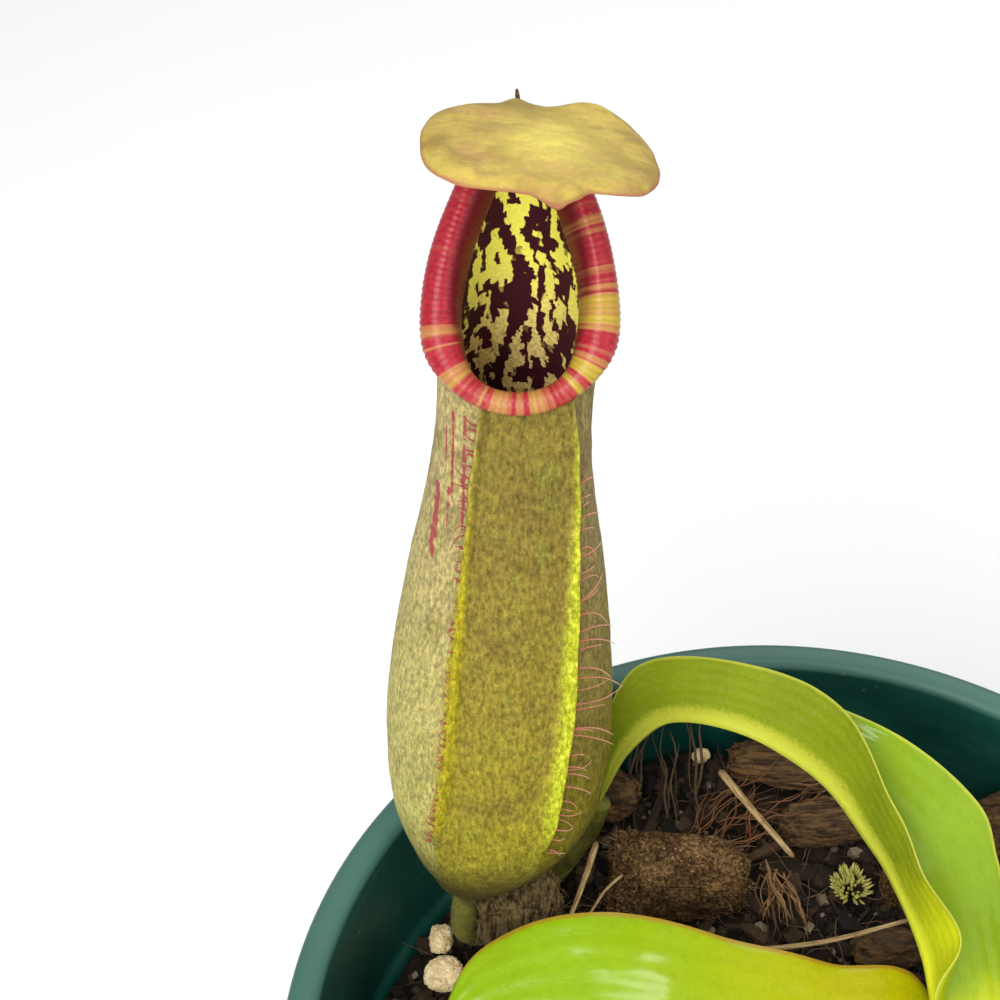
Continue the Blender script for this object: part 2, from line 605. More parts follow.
bundleLook = {
    # spot: x and y from the pot's middle and height over the bed; spread: the scatter round it; heading in
    # degrees
    "upright": {"spot": (-17, 54, 4), "spread": (9, 5, 1), "length": (8, 16), "heading": (78, 102),
                "tilt": 0.8, "fan": 0, "count": 16, "thick": (0.10, 0.28), "dark": (0.045, 0.026, 0.012),
                "light": (0.17, 0.105, 0.050)},
    "root": {"spot": (-6, 46, 4), "spread": (7, 5, 1.5), "length": (5, 12), "heading": (5, 85), "tilt": 0.3,
             "fan": 0.2, "count": 26, "thick": (0.05, 0.14), "dark": (0.16, 0.055, 0.018),
             "light": (0.42, 0.19, 0.07)},
    "twig": {"spot": (-0.5, 37.5, 4.5), "spread": (2.6, 1.2, 0.8), "length": (6, 11), "heading": (-118, -48),
             "tilt": 0.25, "fan": 0.5, "count": 24, "thick": (0.07, 0.24), "dark": (0.12, 0.055, 0.018),
             "light": (0.46, 0.25, 0.10)},
    "back": {"spot": (8, 52, 6), "spread": (12, 6, 1.5), "length": (6, 15), "heading": (-30, 40), "tilt": 0.2,
             "fan": 0, "count": 16, "thick": (0.05, 0.14), "dark": (0.09, 0.035, 0.014),
             "light": (0.28, 0.13, 0.055)},
}


def makeBundle(name, look, seed):
    # Lying strands round one spot, pushed along their headings and lifted the further back they reach.
    rng = np.random.default_rng(seed)
    count = look["count"]
    spread = rng.normal(0, 0.5, (count, 3)) * np.array(look["spread"]) * mm
    x = mixCentre[0] + look["spot"][0] * mm + spread[:, 0]
    y = mixCentre[1] + look["spot"][1] * mm + spread[:, 1]
    z = roughBed(x, y, mixLook) + look["spot"][2] * mm + spread[:, 2]
    length = mm * rng.uniform(*look["length"], count)
    heading = np.radians(rng.uniform(*look["heading"], count))
    routes = lyingStrands(x, y, z, length, heading, rng, 0.45, 0.3, 9)
    away = np.stack([np.cos(heading), np.sin(heading), 0 * heading], axis=1)
    routes = routes + (look["fan"] * length[:, None] * away)[:, None]
    routes[..., 2] += look["tilt"] * (routes[..., 1] - routes[..., 1].mean(axis=1, keepdims=True))
    routes[..., 2] = np.maximum(routes[..., 2], roughBed(routes[..., 0], routes[..., 1], mixLook) + 0.2 * mm)
    taper = np.array((0.6, 0.9, 1, 1, 1, 0.95, 0.85, 0.6, 0.25))
    radii = mm * rng.uniform(*look["thick"], (count, 1)) * taper
    tone = strandTones(rng, count, 9)
    finish = strandFinish(name + " fibres", look["dark"], look["light"])
    addPiece(name + "_fibres", manyStrands(routes, radii), finish, values={"tone": tone})


for index, (name, look) in enumerate(bundleLook.items()):
    makeBundle(name, look, 40 + index)


# Coir chunk, husk stub and bark chips: rough blocks that fill their nodes' boxes

blockLook = {
    "coir_chunk": {"turn": -3, "square": 0.30, "rough": 0.13, "grain": "coir", "seed": 11},
    # it leans forward and up to the pitcher: the shifts are of its box's lowest and highest corners
    "husk_stub": {"turn": 8, "square": 0.30, "rough": 0.08, "grain": "husk", "seed": 12,
                  "lowShift": (0, -2.2, 0), "highShift": (0, -3.0, 4.6)},
    "bark_chip_1": {"turn": -10, "square": 0.6, "rough": 0.14, "grain": "bark", "seed": 13},
    "bark_chip_2": {"turn": 6, "square": 0.6, "rough": 0.14, "grain": "bark", "seed": 14},
    "bark_chip_3": {"turn": -12, "square": 0.6, "rough": 0.15, "grain": "coir", "seed": 15},
    "bark_chip_4": {"turn": 5, "square": 0.7, "rough": 0.16, "grain": "bark", "seed": 16},
    "bark_chip_5": {"turn": 35, "square": 0.6, "rough": 0.14, "grain": "bark", "seed": 17},
    "bark_chip_6": {"turn": -30, "square": 0.7, "rough": 0.15, "grain": "bark", "seed": 18},
    "bark_chip_7": {"turn": 25, "square": 0.6, "rough": 0.14, "grain": "bark", "seed": 19},
    "bark_chip_8": {"turn": -40, "square": 0.6, "rough": 0.14, "grain": "bark", "seed": 20},
}


grainLook = {
    "coir": {"dark": (0.070, 0.036, 0.013), "light": (0.20, 0.115, 0.045), "gap": (0.022, 0.011, 0.005),
             "crumb": (0.42, 0.30, 0.17)},
    # how the noise is stretched, the size, detail and roughness of its blobs, and how deep it cuts
    "husk": {"name": "husk strands", "specular": 0.25, "stretch": (1, 0.5, 0.10), "noise": (0.75, 6, 0.75),
             "edges": (0.38, 0.62), "patch": 3, "patchEdges": (0.5, 0.7), "cut": (0.8, 0.2),
             "roughness": 0.75, "dark": (0.035, 0.020, 0.007), "light": (0.34, 0.235, 0.090),
             "stain": (0.055, 0.030, 0.012)},
    "bark": {"name": "bark layers", "specular": 0.3, "stretch": (0.16, 0.75, 1.5), "noise": (0.9, 6, 0.68),
             "edges": (0.36, 0.64), "patch": 4, "patchEdges": (0.5, 0.66), "cut": (1.0, 0.25),
             "roughness": 0.7, "dark": (0.028, 0.014, 0.005), "light": (0.200, 0.105, 0.036),
             "stain": (0.090, 0.060, 0.026)},
    "fuzz": {"dark": (0.14, 0.07, 0.03), "light": (0.42, 0.27, 0.13)},
    "perlite": {"light": (0.98, 0.80, 0.46), "stain": (0.74, 0.53, 0.25), "pit": (0.26, 0.17, 0.09)},
}


def coirGrain(look):
    # Brown clods, darkened and lit by fine crumbs, with dark gaps between grains and pale bits.
    sheet = nodeSheet("coir grain", {"Specular IOR Level": 0.1})
    clods = sheet.noise(3.5, 6, 0.65)
    grains = sheet.cells(0.75)
    colour = sheet.blend(sheet.step(clods, 0.36, 0.66), look["dark"], look["light"])
    crumbs = sheet.noise(0.5, 4, 0.7)
    colour = sheet.scaled(colour, sheet.spread(sheet.step(crumbs, 0.36, 0.64), 0.25, 1.65))
    colour = sheet.tint(colour, sheet.step(grains, 0.50, 0.80), 0.4, look["gap"])
    pale = sheet.times(sheet.step(sheet.cells(1.1), 0.20, 0.08), sheet.step(sheet.noise(5, 2), 0.46, 0.58))
    colour = sheet.tint(colour, pale, 0.85, look["crumb"])
    normal = sheet.relief(sheet.noise(1.6, 6, 0.7), 0.7)
    normal = sheet.relief(sheet.calc("SUBTRACT", 1.0, grains), 0.22, normal)
    return sheet.finish(colour, sheet.spread(clods, 0.85, 1.0), normal)


def layeredGrain(look):  # strands or layers from stretched noise, with stained patches
    sheet = nodeSheet(look["name"], {"Specular IOR Level": look["specular"]})
    layers = sheet.noise(*look["noise"], sheet.stretched(look["stretch"]))
    patches = sheet.noise(look["patch"], 4)
    colour = sheet.blend(sheet.step(layers, *look["edges"]), look["dark"], look["light"])
    colour = sheet.tint(colour, sheet.step(patches, *look["patchEdges"]), 0.5, look["stain"])
    deep, fine = look["cut"]
    normal = sheet.relief(sheet.noise(0.5, 4, 0.7), fine, sheet.relief(layers, deep))
    return sheet.finish(colour, sheet.spread(layers, look["roughness"], 1.0), normal)


def fitToBox(grid, node, look):  # stretches a shape, box to box, onto its node
    low, high = (np.array(corner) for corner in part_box(node))
    low = low + mm * np.array(look.get("lowShift", (0, 0, 0)))
    high = high + mm * np.array(look.get("highShift", (0, 0, 0)))
    flat = grid.reshape(-1, 3)
    least, most = flat.min(axis=0), flat.max(axis=0)
    return low + (grid - least) / (most - least) * (high - low)


def roughBlock(look, rows=130, sides=190):
    # A superellipsoid: cosines and sines raised to a small power give a box with round edges. Its poles are
    # at the two ends in x. Noise then pushes each point out or in.
    height = np.linspace(-0.5, 0.5, rows + 2)[1:-1, None] * np.pi
    angle = (turnRound * np.arange(sides) / sides)[None, :]
    waves = (wave(part) for part in (height, angle) for wave in (np.sin, np.cos))
    up, level, aside, ahead = (np.sign(wave) * np.abs(wave) ** look["square"] for wave in waves)
    block = np.stack([up + 0 * angle, level * ahead, level * aside], axis=-1)
    push = look["rough"] * lumps(block, 0.75, look["seed"], 2)
    push = push + 0.35 * look["rough"] * lumps(block, 0.13, look["seed"] + 9, 2)
    if look["grain"] == "coir":  # crumbs: the rounded side of the noise
        push = push + 0.075 * np.abs(lumps(block, 0.10, look["seed"] + 4))
        push = push + 0.035 * lumps(block, 0.05, look["seed"] + 6)
    if look["grain"] == "husk":  # upright strands: noise stretched along z
        push = push + 0.11 * lumps(block * np.array((1, 1, 0.10)), 0.11, look["seed"] + 3, 2)
    if look["grain"] == "bark":  # layers along x
        push = push + 0.07 * lumps(block * np.array((0.15, 1, 1)), 0.16, look["seed"] + 3, 2)
    return block * (1 + push[..., None])


def turnedBlock(node, look):
    # A rough block of the node's size, turned about z and stretched onto the node's box.
    low, high = (np.array(corner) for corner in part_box(node))
    cosine, sine = math.cos(math.radians(look["turn"])), math.sin(math.radians(look["turn"]))
    block = roughBlock(look) * (high - low) / 2
    turned = np.stack([cosine * block[..., 0] - sine * block[..., 1],
                       sine * block[..., 0] + cosine * block[..., 1], block[..., 2]], axis=-1)
    return fitToBox(turned, node, look)


blockGrains = {"coir": coirGrain(grainLook["coir"]), "husk": layeredGrain(grainLook["husk"]),
               "bark": layeredGrain(grainLook["bark"])}


def makeFuzz(name, grid, seed, count, finish):
    # Short loose fibres on a block: each starts at a point of its surface and leaves it at a slant.
    rng = np.random.default_rng(seed)
    flat = grid.reshape(-1, 3)
    centre = flat.mean(axis=0)
    start = flat[rng.integers(0, len(flat), count)]
    out = unit(start - centre) * np.array((1, 1, 0.8)) + rng.normal(0, 0.75, (count, 3))
    length = mm * rng.uniform(0.5, 2.2, (count, 1, 1))
    share = np.linspace(0, 1, 5)[None, :, None]
    curl = rng.normal(0, 0.5, (count, 1, 3))
    away = unit(out)[:, None]
    routes = start[:, None] + length * (share * away + share ** 2 * curl) - 0.1 * mm * away
    radii = mm * rng.uniform(0.03, 0.075, (count, 1)) * np.array((1, 1, 0.9, 0.7, 0.3))
    tone = strandTones(rng, count, 5, 4)
    addPiece(name, manyStrands(routes, radii, 4), finish, values={"tone": tone})


fuzzFinish = strandFinish("loose coir", grainLook["fuzz"]["dark"], grainLook["fuzz"]["light"])
for node, look in blockLook.items():
    grid = turnedBlock(node, look)
    slotName = "coir" if node in ("coir_chunk", "husk_stub") else "bark"
    addPiece(node + "_block", closedTube(grid), blockGrains[look["grain"]], [node])
    if slotName == "coir":
        makeFuzz(node + "_fuzz", grid, look["seed"] + 60, 150, fuzzFinish)


# Perlite grains and the moss tuft

def perliteGrain(look):  # pale, with tan stains and small pits
    sheet = nodeSheet("perlite", {"Specular IOR Level": 0.3, "Subsurface Weight": 0.15,
                                  "Subsurface Scale": 0.0006})
    stain = sheet.noise(1.6, 5, 0.6)
    pits = sheet.cells(0.45)
    colour = sheet.blend(sheet.step(stain, 0.38, 0.68), look["light"], look["stain"])
    colour = sheet.tint(colour, sheet.step(pits, 0.6, 0.9), 0.15, look["pit"])
    normal = sheet.relief(sheet.calc("SUBTRACT", 1.0, pits), 0.15)
    return sheet.finish(colour, sheet.spread(stain, 0.7, 0.95),
                        sheet.relief(sheet.noise(0.6, 5, 0.7), 0.25, normal))


perliteFinish = perliteGrain(grainLook["perlite"])
for index in range(3):
    look = {"turn": 20 * index, "square": 0.85, "rough": 0.16, "grain": "perlite", "seed": 31 + index}
    node = f"perlite_{index + 1}"
    addPiece(node + "_grain", closedTube(turnedBlock(node, look)), perliteFinish, [node])

mossLook = {"spikes": 130, "length": (0.5, 1.6), "thick": 0.24, "dark": (0.12, 0.12, 0.014),
            "light": (0.72, 0.64, 0.16), "olive": (0.34, 0.34, 0.07)}


def mossFinish(look):  # dark at the root and light at the tip, with an olive tone of its own for each spike
    sheet = nodeSheet("moss", {"Specular IOR Level": 0.4})
    colour = sheet.blend(sheet.value("along"), look["dark"], look["light"])
    colour = sheet.tint(colour, sheet.value("tone"), 0.5, look["olive"])
    grain = sheet.noise(0.4)
    return sheet.finish(colour, sheet.spread(grain, 0.4, 0.7), sheet.relief(grain, 0.05))


def makeMoss(look):
    # Leafy spikes leave a low dome in all directions, each a tapered cord that curls a little upwards.
    rng = np.random.default_rng(77)
    low, high = (np.array(corner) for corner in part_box("moss_tuft"))
    centre, half = (low + high) / 2, (high - low) / 2
    count = look["spikes"]
    out = unit(rng.normal(size=(count, 3)) * np.array((1, 1, 0.9)))
    out[:, 2] = np.abs(out[:, 2])
    start = centre - np.array((0, 0, 0.35)) * half + 0.72 * out * half
    length = mm * rng.uniform(*look["length"], (count, 1, 1))
    share = np.linspace(0, 1, 7)[None, :, None]
    routes = start[:, None] + length * (share * out[:, None] + 0.35 * share ** 2 * np.array((0, 0, 1)))
    belly = np.array((0.6, 1.0, 1.15, 1.0, 0.75, 0.45, 0.12))
    radii = mm * look["thick"] * rng.uniform(0.7, 1.3, (count, 1)) * belly
    values = {"tone": strandTones(rng, count, 7),
              "along": alongStrands(count, 7)}
    addPiece("moss_tuft_spikes", manyStrands(routes, radii), mossFinish(look), ["moss_tuft"], values)


makeMoss(mossLook)


# Straws: split stalks, flattened and tapered

strawLook = {
    "straw_1": {"route": [(0.6, 14.2, 3.6), (5.4, 7.6, 2.2), (10.9, 0.4, 0.6)], "thick": 0.55},
    "straw_2": {"route": [(4.5, 8.2, 9.3), (2.6, 4.2, 4.8), (0.4, 0.4, 0.3)], "thick": 0.36},
    "straw_3": {"route": [(0.1, 1.2, 0.4), (15.1, 0.6, 4.4), (28.5, 4.1, 4.8)], "thick": 0.38},
    "straw_4": {"route": [(0.3, 5.8, 0.5), (3.5, 2.9, 0.3), (6.5, 0.3, 0.5)], "thick": 0.4},
    "thin_straw": {"from": "coir_chunk", "route": [(2.9, 2.2, 11.2), (0.2, 0.6, 9.0), (-2.6, -2.3, 5.5)],
                   "thick": 0.2},
}


strawColours = {"dark": (0.26, 0.150, 0.048), "light": (0.60, 0.43, 0.19), "end": (0.12, 0.06, 0.025),
                "stain": (0.16, 0.085, 0.03)}


def strawGrain(look):  # streaks along the stalk, dark ends and a few stains
    sheet = nodeSheet("straw", {"Specular IOR Level": 0.4})
    along, around = sheet.value("along"), sheet.value("around")
    lanes = sheet.joined(sheet.times(around, 0.0016), sheet.times(along, 0.0022))
    streaks = sheet.noise(0.42, 3, 0.6, lanes)
    colour = sheet.blend(sheet.step(streaks, 0.36, 0.64), look["dark"], look["light"])
    ends = sheet.calc("MAXIMUM", sheet.step(along, 0.12, 0.0), sheet.step(along, 0.88, 1.0))
    colour = sheet.tint(colour, ends, 0.7, look["end"])
    colour = sheet.tint(colour, sheet.step(sheet.noise(2.2), 0.52, 0.66), 0.45, look["stain"])
    return sheet.finish(colour, sheet.spread(streaks, 0.45, 0.75), sheet.relief(streaks, 0.08))


def makeStraw(node, look, finish):
    # A cord whose section is folded: the radius swells and shrinks four times round it.
    steps, sides = 80, 20
    place = np.linspace(0, 1, steps)
    route = throughPoints(pointsFrom(look.get("from", node), look["route"]), place)
    ahead = unit(np.gradient(route, axis=0))
    aside = unit(np.cross(ahead, (0.1, 0.2, 0.97)))
    across = np.cross(ahead, aside)
    angle = turnRound * np.arange(sides) / sides
    ends = np.minimum(1, np.sqrt(np.minimum(place, 1 - place) / 0.03 + 0.1))
    radius = look["thick"] * mm * (1.05 - 0.35 * place) * ends
    fold = 1 + 0.13 * np.cos(4 * angle)[None] + 0.06 * lumps(route / mm, 1.2, 5)[:, None]
    wide, thin = 1.2 * np.cos(angle)[None, :, None], 0.75 * np.sin(angle)[None, :, None]
    spoke = wide * aside[:, None] + thin * across[:, None]
    grid = route[:, None] + (radius[:, None] * fold)[..., None] * spoke
    values = {"along": tubeValues(np.repeat(place[:, None], sides, axis=1)),
              "around": tubeValues(np.repeat(np.abs(np.sin(angle / 2))[None], steps, axis=0))}
    addPiece(node + "_stalk", closedTube(grid), finish, [] if "from" in look else [node], values)


strawFinish = strawGrain(strawColours)
for node, look in strawLook.items():
    makeStraw(node, look, strawFinish)


# Pitcher: one shape carries its wall, wings, collar and hairs

pitcherLook = {
    # x, y, height and half width of the round body at each level
    "levels": [(10.6, 9.8, 0, 0), (11.1, 10.2, 1.5, 3.9), (12, 10.8, 4.3, 6.9), (12.9, 11.5, 7.6, 9.4),
               (13.8, 12.2, 11.8, 11.8), (14.5, 12.8, 17.3, 13.8), (14.8, 13.5, 23.8, 14.8),
               (14.9, 14.4, 30.8, 15), (15.2, 15.8, 41.8, 14.5), (15.6, 17.5, 51.8, 13.4),
               (16.1, 19.8, 63.8, 11.6), (16.4, 22.8, 75.8, 10.1), (17, 26.2, 91.8, 9.9),
               (17.6, 31.2, 113.8, 9.3)],
    "depth": 0.92, "wall": 0.9,
    "mouthFront": (17.1, 15.4, 89.2), "mouthBack": (17.8, 38.2, 110.7),
    "mouthHalfWidth": 12.3, "mouthNarrowing": 0.64,
    "wingRise": (0.28, 0.985),
    "leftWing": (-36, -27, -25.5, -26, -24.5, -20), "rightWing": (25, 31, 37, 41, 41, 31),
}
bodyLevels = np.array(pitcherLook["levels"]) * mm
bodyCorner = np.array(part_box("pitcher_body")[0])


def roundBody(turn, height):
    # A slightly flat circle at each height: sine across, minus cosine towards the front.
    line = throughLevels(bodyLevels[:, 2], bodyLevels[:, [0, 1, 3]], height)
    x, y, radius = line[..., 0], line[..., 1], np.maximum(line[..., 2], 0)
    return np.stack([x + radius * np.sin(turn), y - pitcherLook["depth"] * radius * np.cos(turn), height],
                    axis=-1)


def mouthLine(turn):
    # An egg in a slanted plane: half a cosine runs from the front to the back, a sine goes across and
    # narrows.
    front, back = np.array(pitcherLook["mouthFront"]) * mm, np.array(pitcherLook["mouthBack"]) * mm
    along = (1 - np.cos(turn)) / 2
    narrow = 1 - pitcherLook["mouthNarrowing"] * along * (1 - 0.25 * along ** 4)
    across = pitcherLook["mouthHalfWidth"] * mm * np.sin(turn) * narrow
    return front + along[..., None] * (back - front) + across[..., None] * np.array((1.0, 0.0, 0.0))


def pitcherSurface(turn, rise):
    # The round body at an eased height, drawn over to the mouth's edge by a smooth step in its upper half.
    edge = mouthLine(turn)
    eased = np.sin(rise * np.pi / 2) ** 0.25 * rise ** 0.75 * 0.35 + rise ** 1.35 * 0.65
    height = eased * edge[..., 2]
    pull = smoothStep(0.55, 1.0, eased)[..., None]
    return bodyCorner + roundBody(turn, height) + pull * (edge - roundBody(turn, edge[..., 2]))


def surfaceFrame(turn, rise):  # a point of the body with the directions round it, up it and out of it
    step = 0.004
    point = pitcherSurface(turn, rise)
    aside = unit(pitcherSurface(turn + step, rise) - pitcherSurface(turn - step, rise))
    ahead = unit(pitcherSurface(turn, np.minimum(rise + step, 1)) - pitcherSurface(turn, rise - step))
    return point, aside, ahead, unit(np.cross(aside, ahead))


def wingTurn(side, rise):  # the angle of a wing at a share of the way up, held at its ends
    low, high = pitcherLook["wingRise"]
    share = np.clip((rise - low) / (high - low), 0, 1)
    return np.radians(throughPoints(np.array(pitcherLook[side])[:, None], share)[..., 0])


skinLook = {
    "panelTop": (0.225, 0.170, 0.030), "panelLow": (0.330, 0.270, 0.024), "foot": (0.075, 0.062, 0.006),
    "leftTop": (0.42, 0.34, 0.14), "leftLow": (0.46, 0.415, 0.115),
    "rightTop": (0.27, 0.20, 0.075), "rightLow": (0.20, 0.155, 0.010),
    "leftCrest": (0.37, 0.305, 0.012), "rightCrest": (0.47, 0.49, 0.022), "crestFelt": (0.66, 0.70, 0.14),
    "brown": (0.150, 0.098, 0.026), "green": (0.27, 0.30, 0.040), "streak": (0.33, 0.022, 0.055),
    "insideYellow": (0.98, 0.93, 0.13), "insideTan": (0.98, 0.74, 0.25), "blotch": (0.050, 0.006, 0.012),
    "tanBelow": (0.098, 0.082),  # metres over the foot, where the tan begins and where it is full
    # streaks: degrees round, lowest and highest share of the way up, half width in degrees
    "streaks": [(-56.5, 0.728, 0.838, 5.2), (-55.0, 0.78, 0.80, 8.0), (-40.0, 0.83, 0.965, 1.8),
                (-43.5, 0.79, 0.86, 1.6), (-30.5, 0.81, 0.975, 1.7), (-47.0, 0.86, 0.93, 1.4),
                (43.0, 0.885, 0.91, 5.0), (45.0, 0.80, 0.815, 5.0), (47.0, 0.76, 0.86, 1.8),
                (58.0, 0.70, 0.84, 2.6), (50.0, 0.83, 0.93, 2.0)],
}


def pitcherSkin(name, look):
    # Outside: panel, flanks and foot by the numbers at the points, patches, felt, ridges and red streaks.
    sheet = nodeSheet(name, {"Sheen Weight": 0.03, "Sheen Roughness": 0.5, "Sheen Tint": (0.9, 0.85, 0.5, 1),
                             "Specular IOR Level": 0.12,
                             "Subsurface Weight": 0.05, "Subsurface Scale": 0.001})
    keys = "rise", "panel", "flank", "inside", "crest"
    rise, panel, flank, inside, crest = (sheet.value(key) for key in keys)
    high = sheet.step(rise, 0.25, 0.85)
    left = sheet.blend(high, look["leftLow"], look["leftTop"])
    right = sheet.blend(high, look["rightLow"], look["rightTop"])
    front = sheet.blend(high, look["panelLow"], look["panelTop"])
    colour = sheet.blend(panel, sheet.blend(flank, left, right), front)
    cloud, patch = sheet.noise(8, 4, 0.6), sheet.noise(3.4, 4, 0.6)
    colour = sheet.tint(colour, sheet.step(cloud, 0.48, 0.68), 0.45, look["brown"])
    colour = sheet.tint(colour, sheet.step(patch, 0.50, 0.68), 0.30, look["green"])
    colour = sheet.blend(sheet.step(rise, 0.29, 0.10), colour, look["foot"])
    # The felt: fine short hairs, pale on their tips and darker between them
    felt = sheet.noise(0.75, 5, 0.75)
    hairs = sheet.noise(0.5, 4, 0.72, sheet.stretched((1, 1, 0.34)))
    shade = sheet.times(sheet.spread(sheet.step(felt, 0.30, 0.70), 0.72, 1.26),
                        sheet.spread(sheet.step(hairs, 0.30, 0.70), 0.58, 1.38))
    ridge = sheet.blend(flank, look["leftCrest"], look["rightCrest"])
    ridge = sheet.tint(ridge, sheet.step(hairs, 0.50, 0.66), sheet.spread(flank, 0.05, 0.30),
                       look["crestFelt"])
    colour = sheet.scaled(sheet.blend(sheet.step(crest, 0.12, 0.85), colour, ridge), shade)
    ragged = sheet.plus(sheet.value("streak"), sheet.spread(sheet.noise(0.9, 4, 0.7), -0.9, 0.9))
    colour = sheet.tint(colour, sheet.step(ragged, 0.50, 0.62), 0.85, look["streak"])
    # Inside: blocky upright blotches, from noise read on small upright tiles with uneven edges
    x, y, z = sheet.add("ShaderNodeSeparateXYZ", {0: sheet.place}).outputs[:3]
    nudge = sheet.spread(sheet.noise(0.9), -0.0007, 0.0007)
    tileX = sheet.calc("SNAP", sheet.plus(x, nudge), 0.0005)
    tileZ = sheet.calc("SNAP", sheet.calc("SUBTRACT", z, nudge), 0.0008)
    tiles = sheet.joined(tileX, sheet.times(y, 0.3), sheet.times(tileZ, 0.40))
    blotch = sheet.step(sheet.noise(1.2, 1.0, 0.5, tiles), 0.488, 0.504)
    speckle = sheet.step(sheet.noise(0.4, 3, 0.7), 0.40, 0.62)
    low = sheet.step(sheet.value("height"), *look["tanBelow"])
    lining = sheet.blend(low, look["insideYellow"], look["insideTan"])
    lining = sheet.scaled(lining, sheet.spread(sheet.times(speckle, sheet.spread(low, 0.2, 1.0)), 1.0, 0.62))
    colour = sheet.blend(inside, colour, sheet.blend(blotch, lining, look["blotch"]))
    normal = sheet.relief(felt, 0.13)
    normal = sheet.relief(hairs, 0.07, normal)
    return sheet.finish(colour, sheet.spread(felt, 0.55, 0.85), normal)


def outerSurface(turn, rise):
    # The body with its uneven skin: the panel between the wings is drawn in by one minus a fourth power,
    # and slow lumps cover it all. It also gives the outward direction and the numbers that the skin's
    # material reads.
    turn, rise = np.broadcast_arrays(turn, rise)
    point, aside, ahead, out = surfaceFrame(turn, rise)
    left, right = wingTurn("leftWing", rise), wingTurn("rightWing", rise)
    soft = np.radians(1.6)
    panel = smoothStep(left - soft, left + soft, turn) * smoothStep(right + soft, right - soft, turn)
    middle = (turn - (left + right) / 2) / ((right - left) / 2)
    drawn = -0.45 * panel * np.clip(1 - middle ** 4, 0, 1) * smoothStep(0.2, 0.4, rise)
    uneven = 0.12 * lumps(point, 6 * mm, 21, 2) + 0.04 * lumps(point, 1.4 * mm, 22)
    point = point + ((drawn + uneven * smoothStep(1.0, 0.93, rise)) * mm)[..., None] * out
    streak = np.zeros_like(rise)
    for angle, low, high, half in skinLook["streaks"]:
        lane = np.exp(-((np.degrees(turn) - angle) / half) ** 2)
        lane = lane * smoothStep(low - 0.015, low + 0.02, rise) * smoothStep(high + 0.015, high - 0.02, rise)
        streak = np.maximum(streak, lane * (0.85 if angle < 0 else 0.50))
    near = np.minimum(np.abs(turn - left), np.abs(turn - right)) * 11
    glow = 0.30 * np.exp(-(near / 1.1) ** 2) * smoothStep(0.26, 0.36, rise) * smoothStep(1.0, 0.6, rise)
    leftStain = np.exp(-((np.degrees(turn - left) + 5.5) / 3.0) ** 2)
    leftStain = leftStain * smoothStep(0.27, 0.34, rise) * smoothStep(1.0, 0.9, rise)
    rightStain = 0.8 * np.exp(-((np.degrees(turn - right) - 6) / 3.5) ** 2) * smoothStep(0.6, 0.8, rise)
    streak = np.maximum(streak, 0.42 * np.maximum(leftStain, rightStain))
    values = {"rise": rise, "panel": panel, "flank": smoothStep(-0.15, 0.25, np.sin(turn)), "streak": streak,
              "crest": glow, "height": point[..., 2] - bodyCorner[2]}
    return point, out, values


def makePitcherWall(look):  # the outer surface and, moved in by the wall's thickness, the inner one
    rows, innerRows, sides = 220, 130, 230
    turn = (turnRound * np.arange(sides) / sides - np.pi)[None, :]
    rise = np.linspace(0, 1, rows + 1)[1:, None]
    outer, out, values = outerSurface(turn, rise)
    index = np.linspace(rows - 1, 3, innerRows).astype(int)
    inner = outer[index] - pitcherLook["wall"] * mm * out[index]
    values = {key: tubeValues(np.concatenate([numbers, numbers[index]])) for key, numbers in values.items()}
    inside = np.concatenate([np.zeros((rows, sides)), np.ones((innerRows, sides))])
    values["inside"] = tubeValues(inside)
    skin = pitcherSkin("felted pitcher skin", look)
    addPiece("pitcher_wall", closedTube(np.concatenate([outer, inner])), skin,
             ["pitcher_body"], values)


makePitcherWall(skinLook)


# Wings: two ridges down the front with their bristles

wingLook = {
    # height of the ridge, how far it slopes on its gentle and its steep side, reach of the patch, in mm
    "wing_left": {"side": "leftWing", "height": 0.95, "gentle": 1.5, "steep": 0.70, "reach": 2.8,
                  "sway": 0.10},
    "wing_right": {"side": "rightWing", "height": 1.2, "gentle": 1.8, "steep": 0.60, "reach": 3.6,
                   "sway": 0.12},
}


def makeWing(node, look):
    # The wall's own surface, lifted by a bell across the wing's line. The bell's two sides have their own
    # widths, and its height wavers with slow noise and fades out at the foot.
    steps, columns = 320, 48
    low, high = pitcherLook["wingRise"]
    share = np.linspace(0, 1, steps)[:, None]
    rise = low + share * (high - low)
    middle = wingTurn(look["side"], rise)
    around = np.linalg.norm(pitcherSurface(middle + 0.01, rise) - pitcherSurface(middle - 0.01, rise),
                            axis=-1) / 0.02
    sway = look["sway"] * lumps(np.stack([share * 14, 0 * share, 0 * share], axis=-1), 1.0, 18, 2)
    spread = np.linspace(-1, 1, columns)[None, :] * look["reach"]
    surface, out, values = outerSurface(middle + (spread + sway) * mm / around, rise)
    grown = smoothStep(0.95, 0.45, share)
    gentle = look["gentle"] * (0.22 + 0.78 * grown)
    steep = look["steep"] * (0.7 + 0.3 * gentle / look["gentle"])
    bell = np.exp(-(spread / np.where(spread > 0, steep, gentle)) ** 2)
    waver = 1 + 0.06 * lumps(np.stack([share * 30, 0 * share, 0 * share], axis=-1), 1.0, 8, 2)
    ends = np.sqrt(smoothStep(0, 0.16, share)) * (1 - 0.45 * smoothStep(0.9, 1, share))
    tuck = 0.14 * smoothStep(0.55, 1, np.abs(spread) / look["reach"])
    lift = look["height"] * ends * waver * bell - tuck - 0.02
    upper = surface + (lift * mm)[..., None] * out
    lower = surface - 0.5 * mm * out
    values["crest"] = np.maximum(values["crest"], bell * ends * (0.5 + 0.5 * grown))
    values = {key: sheetValues(numbers, numbers) for key, numbers in values.items()}
    skin = pitcherSkin(node + " skin", skinLook)
    addPiece(node + "_ridge", closedSheet(upper, lower), skin, [node], values)


